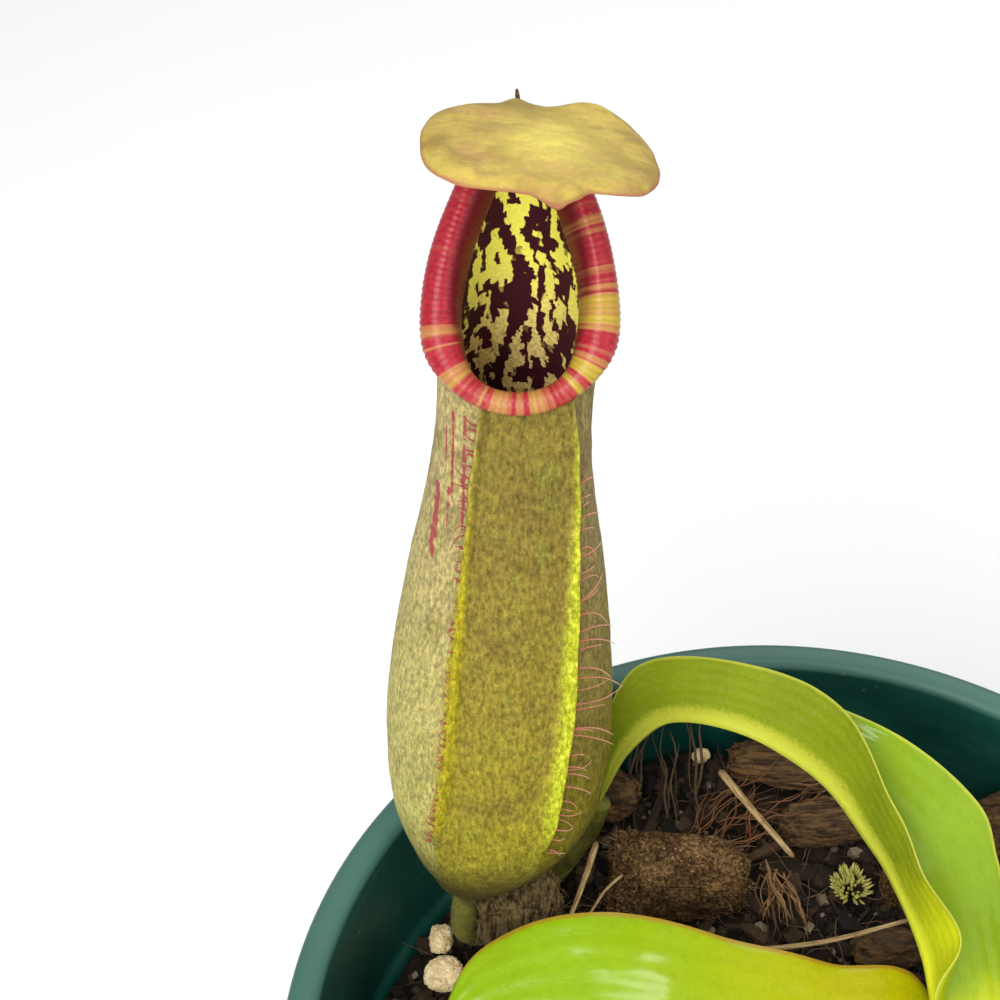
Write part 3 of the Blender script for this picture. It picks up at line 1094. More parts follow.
bristleLook = {
    # how many, the stretch of the wing they grow on, the least and most length in mm, where the longest
    # grow and how far around, radius, the side they lean to, how steeply they stand and how much they hook
    "wing_right": {"count": 36, "span": (0.02, 0.82), "length": (1.9, 5.2), "peak": (0.42, 0.25),
                   "thick": 0.10, "lean": 1.0, "leave": (0.35, 0.8), "curl": 0.35, "seed": 5,
                   "base": (0.34, 0.085, 0.055), "tip": (0.55, 0.31, 0.19), "grain": (0.25, 0.03, 0.04)},
    "wing_left": {"count": 62, "span": (0.02, 0.97), "length": (1.2, 1.8), "peak": (0.85, 0.12),
                  "thick": 0.095, "lean": -1.0, "leave": (0.1, 0.6), "curl": 0.55, "seed": 6,
                  "base": (0.27, 0.030, 0.030), "tip": (0.38, 0.10, 0.06), "grain": (0.25, 0.03, 0.04)},
}


def bristleSkin(name, look):  # the base colour runs to the tip colour, with fine red grain
    sheet = nodeSheet(name, {"Specular IOR Level": 0.35})
    grain = sheet.noise(0.3, 2)
    colour = sheet.blend(sheet.value("along"), look["base"], look["tip"])
    colour = sheet.tint(colour, grain, 0.35, look["grain"])
    return sheet.finish(colour, sheet.spread(grain, 0.45, 0.7), sheet.relief(grain, 0.03))


def makeBristles(node, look):
    # Each bristle leaves the crest sideways and outwards, sags as a parabola and hooks as a cubic at its tip.
    rng = np.random.default_rng(look["seed"])
    wing = wingLook[node]
    count, steps, sides = look["count"], 14, 6
    first, last = look["span"]
    share = np.linspace(first, last, count) + rng.normal(0, 0.45 * (last - first) / count, count)
    low, high = pitcherLook["wingRise"]
    rise = low + np.clip(share, 0.02, 0.985) * (high - low)
    point, aside, ahead, out = surfaceFrame(wingTurn(wing["side"], rise), rise)
    start = point + (0.6 * wing["height"] * mm) * out + (0.3 * look["lean"] * mm) * aside
    shortest, longest = look["length"]
    peak, width = look["peak"]
    length = shortest + (longest - shortest) * np.exp(-((share - peak) / width) ** 2)
    length = (mm * length * rng.uniform(0.55, 1.25, count))[:, None, None]
    leave = rng.uniform(*look["leave"], count) * smoothStep(0.98, 0.75, share) + 0.04
    away = unit(0.8 * look["lean"] * aside + leave[:, None] * out + rng.normal(0, 0.10, (count, 1)) * ahead)
    place = np.linspace(0, 1, steps)[None, :, None]
    hook = (look["curl"] * rng.normal(size=count))[:, None, None]
    sag = (-0.22 * rng.random(count))[:, None, None] * np.array((0, 0, 1.0))
    inward = (-0.35 * look["curl"] * rng.random(count))[:, None, None] * away[:, None]
    routes = start[:, None] + length * (place * away[:, None] + place ** 2 * sag
                                        + place ** 3 * (hook * ahead[:, None] + inward))
    swell = np.array((2.0, 1.5, 1.15, 1, 0.95, 0.92, 0.9, 0.86, 0.8, 0.75, 0.7, 0.62, 0.5, 0.3))
    radii = look["thick"] * mm * rng.uniform(0.75, 1.2, (count, 1)) * swell
    along = alongStrands(count, steps, sides)
    finish = bristleSkin(node + " bristles", look)
    addPiece(node + "_bristles", manyStrands(routes, radii, sides), finish,
             values={"along": along})


for node, look in wingLook.items():
    makeWing(node, look)
    makeBristles(node, bristleLook[node])


# Collar: the ribbed, rolled rim of the mouth

collarLook = {
    "ribs": 114, "pointsPerRib": 10, "ribDepth": 0.008, "wallGap": 0.34,
    "halfWidth": (1.6, 0.85, 0.65),  # at the front, added towards the sides, taken away at the back
    "innerCut": 0.45,  # how much less it reaches inwards beside and behind the opening
    # its section over the mouth's edge, in half widths: out over the crest, down inside and back beneath
    "section": [(0.90, -0.50), (1.05, -0.22), (1.04, 0.12), (0.88, 0.46), (0.58, 0.71), (0.24, 0.81),
                (-0.12, 0.76), (-0.46, 0.57), (-0.75, 0.27), (-0.93, -0.10), (-1.00, -0.52), (-1.00, -0.95),
                (-0.90, -0.94), (-0.82, -0.45), (-0.60, 0.08), (-0.22, 0.40), (0.22, 0.44), (0.58, 0.26),
                (0.76, -0.05), (0.80, -0.42)],
    "sectionPoints": 56,
    # yellow bands: degrees round from the front, half width in degrees, strength
    "bands": [(-62, 3.2, 0.45), (-54, 1.5, 0.3), (-38.5, 4.2, 0.55), (-31, 1, 0.3), (-21.5, 3, 0.38),
              (-10, 5.0, 0.56), (-2.5, 2, 0.32), (10.5, 5.0, 0.58), (17, 1.6, 0.3), (29, 1.5, 0.3),
              (32.5, 2, 0.8), (36, 1.2, 0.35), (42.5, 4, 0.9), (48.5, 1.8, 0.5), (53, 1.2, 0.3),
              (63.5, 1.2, 0.45), (72, 6.8, 1.0), (81, 1.6, 0.45), (84.5, 1, 0.3), (88, 1.8, 0.5),
              (104, 1.2, 0.3), (108.5, 2.2, 0.65), (115, 1, 0.25), (121, 2, 0.5), (131, 2, 0.35),
              (141, 3, 0.4), (-118, 1, 0.2), (-96, 0.8, 0.2)],
    "crimson": (0.33, 0.010, 0.022), "bright": (0.44, 0.024, 0.040), "deep": (0.095, 0.005, 0.010),
    "yellow": (0.46, 0.32, 0.034), "tan": (0.46, 0.20, 0.060), "pink": (0.42, 0.070, 0.050),
}


def collarSkin(look):
    # Crimson with bright flecks; the bands go over pink and tan to yellow, the rib crests are lighter, and
    # the inside is deep red.
    sheet = nodeSheet("ribbed collar",
                      {"Coat Weight": 0.14, "Coat Roughness": 0.26, "Specular IOR Level": 0.25,
                                        "Subsurface Weight": 0.04, "Subsurface Scale": 0.0008})
    band, crest, inward = (sheet.value(name) for name in ("band", "crest", "inward"))
    fleck = sheet.noise(0.7, 3, 0.6)
    colour = sheet.blend(sheet.step(fleck, 0.35, 0.7), look["crimson"], look["bright"])
    mixed = sheet.blend(sheet.step(band, 0.20, 0.60), look["pink"], look["tan"])
    mixed = sheet.blend(sheet.step(band, 0.62, 0.95), mixed, look["yellow"])
    colour = sheet.blend(sheet.step(band, 0.08, 0.50), colour, mixed)
    colour = sheet.scaled(colour, sheet.spread(sheet.step(crest, 0.0, 0.7), 0.88, 1.03))
    dim = sheet.times(sheet.step(inward, 0.1, 0.9), sheet.spread(sheet.step(band, 0.3, 0.8), 0.85, 0.35))
    colour = sheet.blend(dim, colour, look["deep"])
    roughness = sheet.spread(fleck, 0.26, 0.42)
    return sheet.finish(colour, roughness, sheet.relief(fleck, 0.03))


def evenTurns(count):  # angles whose points lie evenly along the mouth's edge, with the seam at the back
    fine = np.linspace(-np.pi, np.pi, 4001)
    steps = np.linalg.norm(np.diff(mouthLine(fine), axis=0), axis=1)
    length = np.concatenate([[0], np.cumsum(steps)])
    return np.interp(np.arange(count) / count, length / length[-1], fine)


def makeCollar(look):
    # The section is carried round the mouth's edge. A cosine with one wave per rib swells it, most at its
    # margins, and its inner half is cut back beside the opening.
    count = look["ribs"] * look["pointsPerRib"]
    turn = evenTurns(count)
    ahead = unit(mouthLine(turn + 0.01) - mouthLine(turn - 0.01))
    upright = np.array((0.0, 0.1, 1.0))
    up = unit(upright - (ahead @ upright)[:, None] * ahead)
    out = np.cross(ahead, up)
    edge = bodyCorner + mouthLine(turn) - look["wallGap"] * mm * out
    front, sides, back = look["halfWidth"]
    behind = -np.cos(turn)
    half = (front + sides * smoothStep(-1.0, -0.5, behind) - back * smoothStep(0.5, 1, behind)) * mm
    closed = np.array(look["section"] + look["section"][:1])
    place = np.arange(look["sectionPoints"]) / look["sectionPoints"]
    section = throughPoints(closed, place)
    visible = smoothStep(0.0, 0.03, place) * smoothStep(0.62, 0.56, place)
    margin = np.exp(-((place - 0.06) / 0.05) ** 2) + np.exp(-((place - 0.56) / 0.03) ** 2)
    wave = (0.5 + 0.5 * np.cos(turnRound * np.arange(count) / look["pointsPerRib"])) ** 0.75
    ripple = 1 + (look["ribDepth"] * (visible + 1.9 * margin))[None] * (2 * wave[:, None] - 1)
    ripple = ripple + 0.03 * np.sin(turn * 7 + 1)[:, None] * visible[None]
    cut = look["innerCut"] * smoothStep(np.radians(50), np.radians(105), np.abs(turn))[:, None]
    across = half[:, None] * section[None, :, 0] * (1 - cut * (section[None, :, 0] < 0)) * ripple
    lift = half[:, None] * section[None, :, 1] * ripple + 0.25 * mm
    grid = edge[:, None] + across[..., None] * out[:, None] + lift[..., None] * up[:, None]
    degrees = np.degrees(turn)
    band = np.zeros(count)
    for centre, width, strength in look["bands"]:
        band = np.maximum(band, strength * smoothStep(width * 1.25, width * 0.75, np.abs(degrees - centre)))
    thin = lumps(np.stack([degrees, 0 * degrees, 0 * degrees], axis=-1), 2.2, 31, 2)
    base = 0.36 * np.exp(-(degrees / 32) ** 2) + 0.14 * np.exp(-((degrees - 80) / 25) ** 2)
    band = np.clip(np.maximum(band, base) * (1 + 0.25 * thin) + 0.09 * thin, 0, 1)
    values = {"band": band[:, None], "crest": wave[:, None], "inward": smoothStep(0.27, 0.44, place)[None]}
    values = {key: np.broadcast_to(numbers, grid.shape[:2]) for key, numbers in values.items()}
    shape = grid.reshape(-1, 3), ringFaces(count, len(place), True).tolist()
    addPiece("peristome_ribs", shape, collarSkin(look), ["peristome"], values)


makeCollar(collarLook)


# Lid: a thin lobed shield over the mouth, and the spur behind it

lidLook = {
    "centre": (12.5, 13.0, 5.4), "thickness": 0.9, "halfWidth": 12.9, "halfLength": 12.2,
    # its outline round the centre, from the right over the rear lobes and the spur's base to the front keel
    "outline": [(12.8, 0.0), (12.3, 4.4), (11.0, 8.6), (8.8, 11.9), (6.4, 13.2), (3.8, 12.8), (1.2, 12.5),
                (-1.0, 13.5), (-2.8, 13.5), (-5.0, 12.1), (-7.6, 11.9), (-10.2, 9.7), (-12.0, 6.2),
                (-12.8, 1.8), (-12.8, -2.4), (-12.4, -6.3), (-11.0, -9.6), (-8.2, -11.6), (-4.6, -12.1),
                (-1.6, -12.0), (0.2, -13.2), (2.0, -14.1), (3.8, -12.7), (5.2, -10.9), (8.0, -10.3),
                (10.6, -9.2), (12.3, -6.2), (12.9, -3.0)],
    "frontRise": 0.28, "sideDip": 0.13, "crown": 0.9, "rings": 90, "sides": 336,
    "olive": (0.34, 0.225, 0.048), "gold": (0.56, 0.42, 0.085), "tan": (0.40, 0.235, 0.085),
    "edge": (0.34, 0.10, 0.065), "pink": (0.50, 0.22, 0.12), "glow": (0.80, 0.66, 0.13),
    "rear": (0.20, 0.145, 0.030), "grain": (0.36, 0.25, 0.06),
}


def lidSkin(look):
    # Olive and gold patches with tan and pink ones, a glow in the middle, a darker rear and a red edge.
    sheet = nodeSheet("lid skin", {"Specular IOR Level": 0.25, "Subsurface Weight": 0.04,
                                   "Subsurface Scale": 0.001})
    patches = sheet.noise(5.5, 5, 0.62)
    colour = sheet.blend(sheet.step(patches, 0.36, 0.64), look["olive"], look["gold"])
    colour = sheet.tint(colour, sheet.step(sheet.noise(3.2, 4), 0.50, 0.66), 0.55, look["tan"])
    colour = sheet.tint(colour, sheet.step(sheet.noise(4.1, 3), 0.52, 0.66), 0.35, look["pink"])
    colour = sheet.tint(colour, sheet.value("middle"), 0.75, look["glow"])
    streaks = sheet.noise(0.9, 5, 0.65, sheet.stretched((0.3, 0.8, 0.8)))
    colour = sheet.scaled(colour, sheet.spread(sheet.step(streaks, 0.34, 0.66), 0.92, 1.06))
    colour = sheet.tint(colour, sheet.value("rear"), 0.6, look["rear"])
    rim = sheet.step(sheet.plus(sheet.value("outward"), sheet.spread(sheet.noise(1.5), -0.02, 0.02)), 0.965,
                     1.0)
    colour = sheet.tint(colour, rim, 0.7, look["edge"])
    grain = sheet.noise(0.6, 4, 0.65)
    colour = sheet.tint(colour, sheet.step(grain, 0.45, 0.7), 0.25, look["grain"])
    normal = sheet.relief(patches, 0.15)
    return sheet.finish(colour, sheet.spread(grain, 0.52, 0.75), sheet.relief(grain, 0.04, normal))


def lidOutline(look):  # the closed curve through the outline's points
    points = np.array(look["outline"])
    wrapped = np.vstack([points[-1:], points, points[:2]])
    count, gaps = len(points), len(wrapped) - 1
    return throughPoints(wrapped, (1 + count * np.arange(look["sides"]) / look["sides"]) / gaps)


def makeLid(look):
    # Rings run from the middle of the top out to the rim and back under to the middle. The height is a
    # crown that falls as a square, slopes to the side and the front, bells for folds and a sharp bell for
    # the keel beneath.
    share = np.sin(np.linspace(0.01, 1, look["rings"]) * np.pi / 2)[:, None]
    outline = lidOutline(look)
    x, y = share * outline[None, :, 0], share * outline[None, :, 1]
    flat = np.stack([x, y, 0 * x], axis=-1)
    height = (-look["crown"] * ((x / look["halfWidth"]) ** 2 + (y / look["halfLength"]) ** 2)
              - look["sideDip"] * x - look["frontRise"] * y)
    height = height + 0.35 * share ** 2 * lumps(flat, 8.0, 51, 2) + 0.08 * lumps(flat, 2.0, 52, 2)
    seam = np.exp(-((x + 0.10 * y) / 1.0) ** 2)
    keel = 0.7 * seam * smoothStep(2, -12, y)
    height = height + 0.55 * np.exp(-((x - 1.0 + 0.12 * y) / 3.6) ** 2) * smoothStep(13, -8, y)
    height = height - 0.5 * smoothStep(0.8, 1.0, share) ** 2
    height = height + 0.8 * np.exp(-((x + 2.2) / 2.0) ** 2) * smoothStep(8, 13.5, y)
    height = height + (0.3 + 1.3 * np.exp(-((x - 6.5) / 4) ** 2)) * smoothStep(5, 13, y)
    half = 0.5 * look["thickness"] * np.sqrt(np.clip(1 - share ** 10, 0.02, 1))
    upper = np.stack([x, y, height - 0.5 * look["thickness"] + half - 0.25 * seam], axis=-1)
    lower = np.stack([x, y, height - 0.5 * look["thickness"] - half - keel], axis=-1)
    grid = pointsFrom("pitcher_lid", look["centre"]) + mm * np.concatenate([upper, lower[::-1]])
    glow = np.exp(-((x - 1.5) / 5.5) ** 2 - ((y + 1) / 8) ** 2)
    rear = np.exp(-((x + 2) / 3.5) ** 2 - ((y - 11) / 4.5) ** 2)
    values = {"outward": share + 0 * x, "middle": glow, "rear": rear}
    values = {key: tubeValues(np.concatenate([numbers, numbers[::-1]])) for key, numbers in values.items()}
    addPiece("lid_shield", closedTube(grid), lidSkin(look), ["pitcher_lid"], values)


spurLook = {"route": [(0.7, 0.5, 0.2), (0.4, 1.1, 2.0), (0.2, 1.2, 3.9)], "radius": 0.6,
            "dark": (0.05, 0.022, 0.012), "light": (0.20, 0.11, 0.05)}


def makeSpur(look):
    # A dry bent point: the radius falls evenly, and a sine gives it two swellings.
    steps, sides = 40, 14
    place = np.linspace(0, 1, steps)
    route = throughPoints(pointsFrom("lid_spur", look["route"]), place)[None]
    radius = look["radius"] * mm * (1 - 0.75 * place) * (1 + 0.15 * np.sin(place * 9))
    sheet = nodeSheet("dry spur", {"Specular IOR Level": 0.3})
    grain = sheet.noise(0.4, 4)
    colour = sheet.blend(sheet.step(grain, 0.35, 0.65), look["dark"], look["light"])
    finish = sheet.finish(colour, sheet.spread(grain, 0.55, 0.9), sheet.relief(grain, 0.1))
    addPiece("lid_spur_point", manyStrands(route, radius[None], sides), finish, ["lid_spur"])


makeLid(lidLook)
makeSpur(spurLook)


# Leaves: blades between a near margin, a midrib and a far margin

leafLook = {
    "leaf_1_blade": {
        "midrib": [(48.5, 2.4, 1.5), (46.7, 7.4, 6), (45.5, 16.4, 10.3), (43.2, 24.4, 13), (39.7, 30.9, 16),
                   (32.7, 38.4, 21), (22.2, 45.4, 23.5), (12.1, 49.7, 20.5), (6.0, 50.4, 11.5),
                   (3.0, 50.4, 0)],
        "near": [(45.7, 0.4, 4), (44.5, 8.4, 16), (47.9, 15.4, 20.2), (44.2, 23.9, 22), (40.7, 30.9, 27),
                 (34.2, 41.4, 34), (22.2, 49.9, 33.5), (9.7, 53.4, 30), (4.0, 51.9, 23), (1.6, 50.7, 1.5)],
        "far": [(50.2, 6.4, 3.5), (58.2, 12.4, 3), (58.2, 23.4, 8.5), (57, 31.4, 13.3), (54.7, 36.9, 18.5),
                (43.7, 42.9, 26), (28.7, 50.4, 27), (14.9, 56.4, 24), (7.4, 54.4, 14), (3.6, 51.7, 1)],
        "rows": 300, "columns": 70, "cupping": 0.0, "ripple": 0.25, "waves": 5, "keel": 0.6,
        "upper": (0.245, 0.385, 0.006), "yellow": (0.66, 0.66, 0.010), "yellowFrom": (0.24, 0.0),
        "under": (0.255, 0.325, 0.008), "underYellow": (0.46, 0.08), "margin": (0.50, 0.52, 0.06),
        "gloss": 0.30},
    "leaf_2_blade": {
        "midrib": [(71.7, 15.6, 0), (62.7, 16.1, 3.5), (52.7, 16.6, 6), (38.7, 18.1, 8.5), (22.7, 19.6, 9.5),
                   (9.7, 21.1, 8), (0.7, 22.1, 5.5)],
        "near": [(71.2, 13.1, 1), (60.7, 3.1, 6), (48.7, 0.6, 9), (36.7, 0.1, 11.5), (21.7, 2.1, 12.5),
                 (8.7, 9.1, 10), (0.5, 20.6, 6)],
        "far": [(72.2, 19.1, 1), (67.2, 32.1, 8.5), (54.7, 33.2, 11), (41.2, 35.1, 14), (23.7, 38.1, 16),
                (7.7, 34.6, 13), (0.3, 24.1, 6.3)],
        "rows": 280, "columns": 80, "cupping": 0.05, "ripple": 0.35, "waves": 6, "keel": 0.8,
        "upper": (0.255, 0.420, 0.002), "yellow": (0.42, 0.40, 0.002), "yellowFrom": (0.72, 0.22),
        "under": (0.24, 0.30, 0.018), "margin": (0.36, 0.17, 0.02), "gloss": 0.24},
    "leaf_3_blade": {
        "midrib": [(0.7, 7.6, 1.5), (9.4, 10.1, 7.5), (21.4, 13.1, 14.5), (33.4, 16.1, 18.5),
                   (45.4, 19.1, 16.5), (55.4, 21.1, 9.5)],
        "near": [(0.7, 4.6, 2.5), (11.4, 1.1, 9.5), (22.4, 0.1, 17.5), (34.4, 2.1, 21.5), (47.4, 8.1, 19),
                 (55.7, 19.7, 9.8)],
        "far": [(0, 10.3, 2.5), (7.4, 19.1, 8.5), (19.4, 25.1, 16.5), (31.4, 29.1, 20.5), (43.4, 28.1, 18.5),
                (55, 22.5, 9.8)]},
    "leaf_4_blade": {
        "midrib": [(43.7, 68.7, 0), (38.2, 58.1, 6.5), (29.2, 43.1, 14), (20.2, 29.1, 17.5), (10.2, 14.1, 17),
                   (1.2, 1.1, 10)],
        "near": [(45.8, 68.1, 1), (46.2, 54.1, 9), (39.2, 37.1, 17), (30.2, 22.1, 21), (18.2, 8.1, 19),
                 (2.2, 0.1, 10.3)],
        "far": [(41.2, 68.3, 1.5), (30.2, 61.6, 9.5), (19.2, 48.1, 17), (10.2, 35.1, 20.5), (2.2, 19.1, 19),
                (0.2, 2.1, 10.3)]},
    "leaf_5_blade": {
        "midrib": [(1.2, 60, 0), (9, 50, 7), (19, 37, 14), (29, 24, 17), (39, 12, 14.5), (48, 1, 6)],
        "near": [(2.6, 61.6, 1), (16, 56, 9.5), (28, 44, 17), (38, 31, 20), (46, 17, 16.5), (48.8, 1.8, 6.3)],
        "far": [(0, 58.4, 1), (4, 45, 9), (11, 30, 17), (20, 17, 20), (32, 6, 16.5), (47.2, 0.2, 6.3)]},
}
usualLeaf = {"rows": 220, "columns": 60, "cupping": 0.05, "ripple": 0.3, "waves": 5, "keel": 0.6,
             "upper": (0.25, 0.41, 0.005), "yellow": (0.42, 0.45, 0.008), "yellowFrom": (0.7, 1.0),
             "under": (0.25, 0.31, 0.012), "underYellow": (-0.2, -0.4), "margin": (0.35, 0.20, 0.025),
             "gloss": 0.28}
leafColours = {"vein": (0.42, 0.52, 0.05), "frost": (0.42, 0.46, 0.12), "felt": (0.58, 0.60, 0.055),
               "aged": (0.84, 0.90, 0.012), "midrib": (0.50, 0.56, 0.07), "spot": (0.30, 0.13, 0.03)}


def leafSkin(name, look):
    # Above: green clouds that turn yellow along the blade, faint veins. Below: duller, felted round the
    # midrib.
    sheet = nodeSheet(name, {"Specular IOR Level": 0.10, "Coat Weight": 0.32, "Coat Roughness": 0.13,
                             "Subsurface Weight": 0.05, "Subsurface Scale": 0.001})
    across, along, upper = (sheet.value(name) for name in ("across", "along", "upper"))
    share = sheet.calc("ABSOLUTE", across)
    cloud = sheet.noise(11, 4, 0.6)
    top = sheet.blend(sheet.spread(sheet.step(cloud, 0.3, 0.7), 0, 0.35), look["upper"],
                      shaded(look["upper"], 0.72))
    begin, end = look["yellowFrom"]
    yellowed = sheet.step(sheet.plus(along, sheet.spread(cloud, -0.12, 0.12)), begin, end)
    top = sheet.blend(yellowed, top, look["yellow"])
    # Faint veins: lines of even spacing that run with the midrib, and a pale midrib
    lanes = sheet.calc("PINGPONG", sheet.plus(share, sheet.spread(sheet.noise(7), -0.02, 0.02)), 0.085)
    vein = sheet.step(lanes, 0.012, 0.0)
    top = sheet.tint(top, vein, 0.10, leafColours["vein"])
    mottle = sheet.noise(1.6 / 1.2, 3, 0.6)
    top = sheet.tint(top, sheet.step(mottle, 0.48, 0.62), 0.12, shaded(look["upper"], 0.6))
    below = sheet.blend(sheet.step(cloud, 0.35, 0.65), look["under"], shaded(look["under"], 0.85))
    frost = sheet.noise(0.55, 3, 0.7)
    below = sheet.tint(below, sheet.step(frost, 0.46, 0.64), 0.10, leafColours["frost"])
    felted = sheet.plus(sheet.step(share, 0.42, 0.02), sheet.spread(frost, -0.35, 0.35))
    below = sheet.tint(below, sheet.step(felted, 0.1, 0.8), 0.85, leafColours["felt"])
    aged = sheet.step(sheet.plus(along, sheet.spread(cloud, -0.1, 0.1)), *look["underYellow"])
    below = sheet.tint(below, aged, 0.88, leafColours["aged"])
    colour = sheet.blend(upper, below, top)
    colour = sheet.tint(colour, sheet.step(share, 0.05, 0.015), 0.6, leafColours["midrib"])
    rim = sheet.step(sheet.plus(share, sheet.spread(sheet.noise(2.2), -0.02, 0.02)), 0.955, 0.985)
    colour = sheet.tint(colour, rim, 0.75, look["margin"])
    dots = sheet.times(sheet.step(sheet.cells(5.5), 0.10, 0.03), sheet.step(sheet.noise(12), 0.50, 0.60))
    colour = sheet.tint(colour, dots, 0.7, leafColours["spot"])
    smoothness = sheet.spread(sheet.noise(3, 4), look["gloss"] - 0.04, look["gloss"] + 0.14)
    dull = sheet.times(sheet.calc("SUBTRACT", 1.0, upper), 0.68)
    roughness = sheet.plus(sheet.times(upper, smoothness), dull)
    normal = sheet.relief(lanes, 0.3, strength=0.4)
    normal = sheet.relief(mottle, 0.16, normal)
    normal = sheet.relief(frost, 0.05, normal)
    return sheet.finish(colour, roughness, normal)


def makeLeaf(node, look, number):
    # Each half spans from the midrib to its margin along a straight line that is bowed as a parabola,
    # rippled by a sine at the margin, dented by noise, ribbed by a cosine and thinned towards the edge and
    # in the keel's fold.
    look = {**usualLeaf, **look}
    place = np.linspace(0, 1, look["rows"])
    lines = (pointsFrom(node, look[key]) for key in ("midrib", "near", "far"))
    midrib, near, far = (throughPoints(line, place) for line in lines)
    across = np.sin(np.linspace(-1, 1, look["columns"]) * np.pi / 2)[None, :]
    share = np.abs(across)
    margin = np.where((across < 0)[..., None], near[:, None], far[:, None])
    flat = midrib[:, None] + share[..., None] * (margin - midrib[:, None])
    under = unit(np.cross(np.gradient(flat, axis=0), np.gradient(flat, axis=1)))
    width = np.linalg.norm(far - near, axis=1)[:, None]
    row = place[:, None]
    ripple = look["ripple"] * share ** 3 * np.sin(turnRound * (look["waves"] * row + 0.2 * across) + number)
    ripple = ripple * smoothStep(0, 0.12, row) * smoothStep(1, 0.88, row)
    dents = 0.22 * lumps(flat, 9 * mm, 60 + number, 2) * smoothStep(0, 0.1, row) * smoothStep(1, 0.9, row)
    furrow = 0.035 * np.cos(turnRound * share / 0.17) * smoothStep(0.05, 0.15, share)
    push = mm * (ripple + dents + furrow) - look["cupping"] * width * share * (1 - share)
    base = flat + push[..., None] * under
    thick = mm * np.minimum(0.25 + 0.55 * (1 - share ** 6), 0.10 + 0.26 * share * width / mm)
    keel = mm * look["keel"] * np.exp(-(across / 0.075) ** 2) * smoothStep(1.02, 0.9, row)
    groove = mm * 0.05 * np.exp(-(across / 0.05) ** 2)
    lower = base + keel[..., None] * under
    upper = base - (thick - groove + 0 * row)[..., None] * under
    grid = np.broadcast_to(across, flat.shape[:2])
    values = {"across": sheetValues(grid, grid),
              "upper": sheetValues(np.ones_like(grid), np.zeros_like(grid)),
              "along": sheetValues(row + 0 * across, row + 0 * across)}
    skin = leafSkin(node + " skin", look)
    addPiece(node + "_fine", closedSheet(upper, lower), skin, [node], values)


for index, (node, look) in enumerate(leafLook.items()):
    makeLeaf(node, look, index)


# Tendrils, stem and the rolled young leaf

tendrilLook = {
    "leaf_1_tendril": {"route": [(21.8, 18.7, 13.8), (20.0, 17.5, 7.5), (15.5, 13.2, 3.4), (9.2, 7.9, 1.6),
                                 (4.1, 3.4, 2), (1.7, 1.7, 5.6), (1.7, 1.6, 11), (2.3, 1.7, 16.6)],
                       "radius": 1.6, "ends": (1.15, 1.25), "hairs": 420, "reference": (0.7, -0.7, 0.0),
                       "colour": (0.20, 0.20, 0.025), "dark": (0.085, 0.070, 0.010)},
    "leaf_2_tendril": {"route": [(10.1, 0.9, 4.4), (6.8, 1.1, 2.2), (3.3, 2.2, 0.7), (0.8, 4.7, 1.7),
                                 (0.6, 7.2, 4.2)],
                       "radius": 0.9, "ends": (1.2, 0.55), "hairs": 160, "reference": (0.2, 0.3, 0.93),
                       "colour": (0.30, 0.26, 0.05), "dark": (0.14, 0.07, 0.02)},
}
downColours = {"felt": (0.30, 0.27, 0.08), "dark": (0.14, 0.10, 0.025), "light": (0.34, 0.28, 0.10)}


def feltedGreen(name, look, hairSize=0.4):  # green with dark clouds and pale felt
    sheet = nodeSheet(name, {"Sheen Weight": 0.03, "Specular IOR Level": 0.22})
    cloud, felt = sheet.noise(4, 4), sheet.noise(hairSize, 4, 0.7)
    colour = sheet.blend(sheet.step(cloud, 0.36, 0.66), look["colour"], look["dark"])
    colour = sheet.tint(colour, sheet.step(felt, 0.48, 0.68), 0.35, downColours["felt"])
    return sheet.finish(colour, sheet.spread(felt, 0.55, 0.85), sheet.relief(felt, 0.15))


def makeHairs(name, grid, count, length, thick, seed):
    # Fine short hairs: each leaves the point of the surface it grows on at a slant and curls as a parabola.
    rng = np.random.default_rng(seed)
    rows, sides = grid.shape[:2]
    row, side = rng.integers(1, rows - 1, count), rng.integers(0, sides, count)
    along = unit(grid[row + 1, side] - grid[row - 1, side])
    around = unit(grid[row, (side + 1) % sides] - grid[row, side - 1])
    out = unit(np.cross(around, along))
    centre = grid[row].mean(axis=1)
    out = out * np.sign(np.einsum("ij,ij->i", out, grid[row, side] - centre))[:, None]
    heading = unit(out + 0.6 * rng.normal(0, 1, (count, 3)))
    heading = unit(heading + out * np.maximum(0, 0.4 - np.einsum("ij,ij->i", heading, out))[:, None])
    share = np.linspace(0, 1, 4)[None, :, None]
    size = mm * rng.uniform(*length, (count, 1, 1))
    curl = 0.4 * share ** 2 * rng.normal(0, 0.6, (count, 1, 3))
    routes = grid[row, side][:, None] + size * (share * heading[:, None] + curl)
    radii = mm * thick * np.array((1.0, 0.9, 0.7, 0.3))[None] * rng.uniform(0.7, 1.2, (count, 1))
    tone = strandTones(rng, count, 4, 3)
    finish = strandFinish(name + " down", downColours["dark"], downColours["light"], 0.6)
    addPiece(name, manyStrands(routes, radii, 3), finish, values={"tone": tone})


def cordGrid(route, radius, sides, reference, wobble=0.0):
    # Rings square to a route, uneven by a little noise.
    ahead = unit(np.gradient(route, axis=0))
    aside = unit(np.cross(ahead, reference))
    across = np.cross(ahead, aside)
    angle = (turnRound * np.arange(sides) / sides)[None, :, None]
    spokes = np.cos(angle) * aside[:, None] + np.sin(angle) * across[:, None]
    uneven = 1 + wobble * lumps(route[:, None] + radius[:, None, None] * spokes, 2.2 * mm, 91, 2)
    return route[:, None] + (radius[:, None] * uneven)[..., None] * spokes


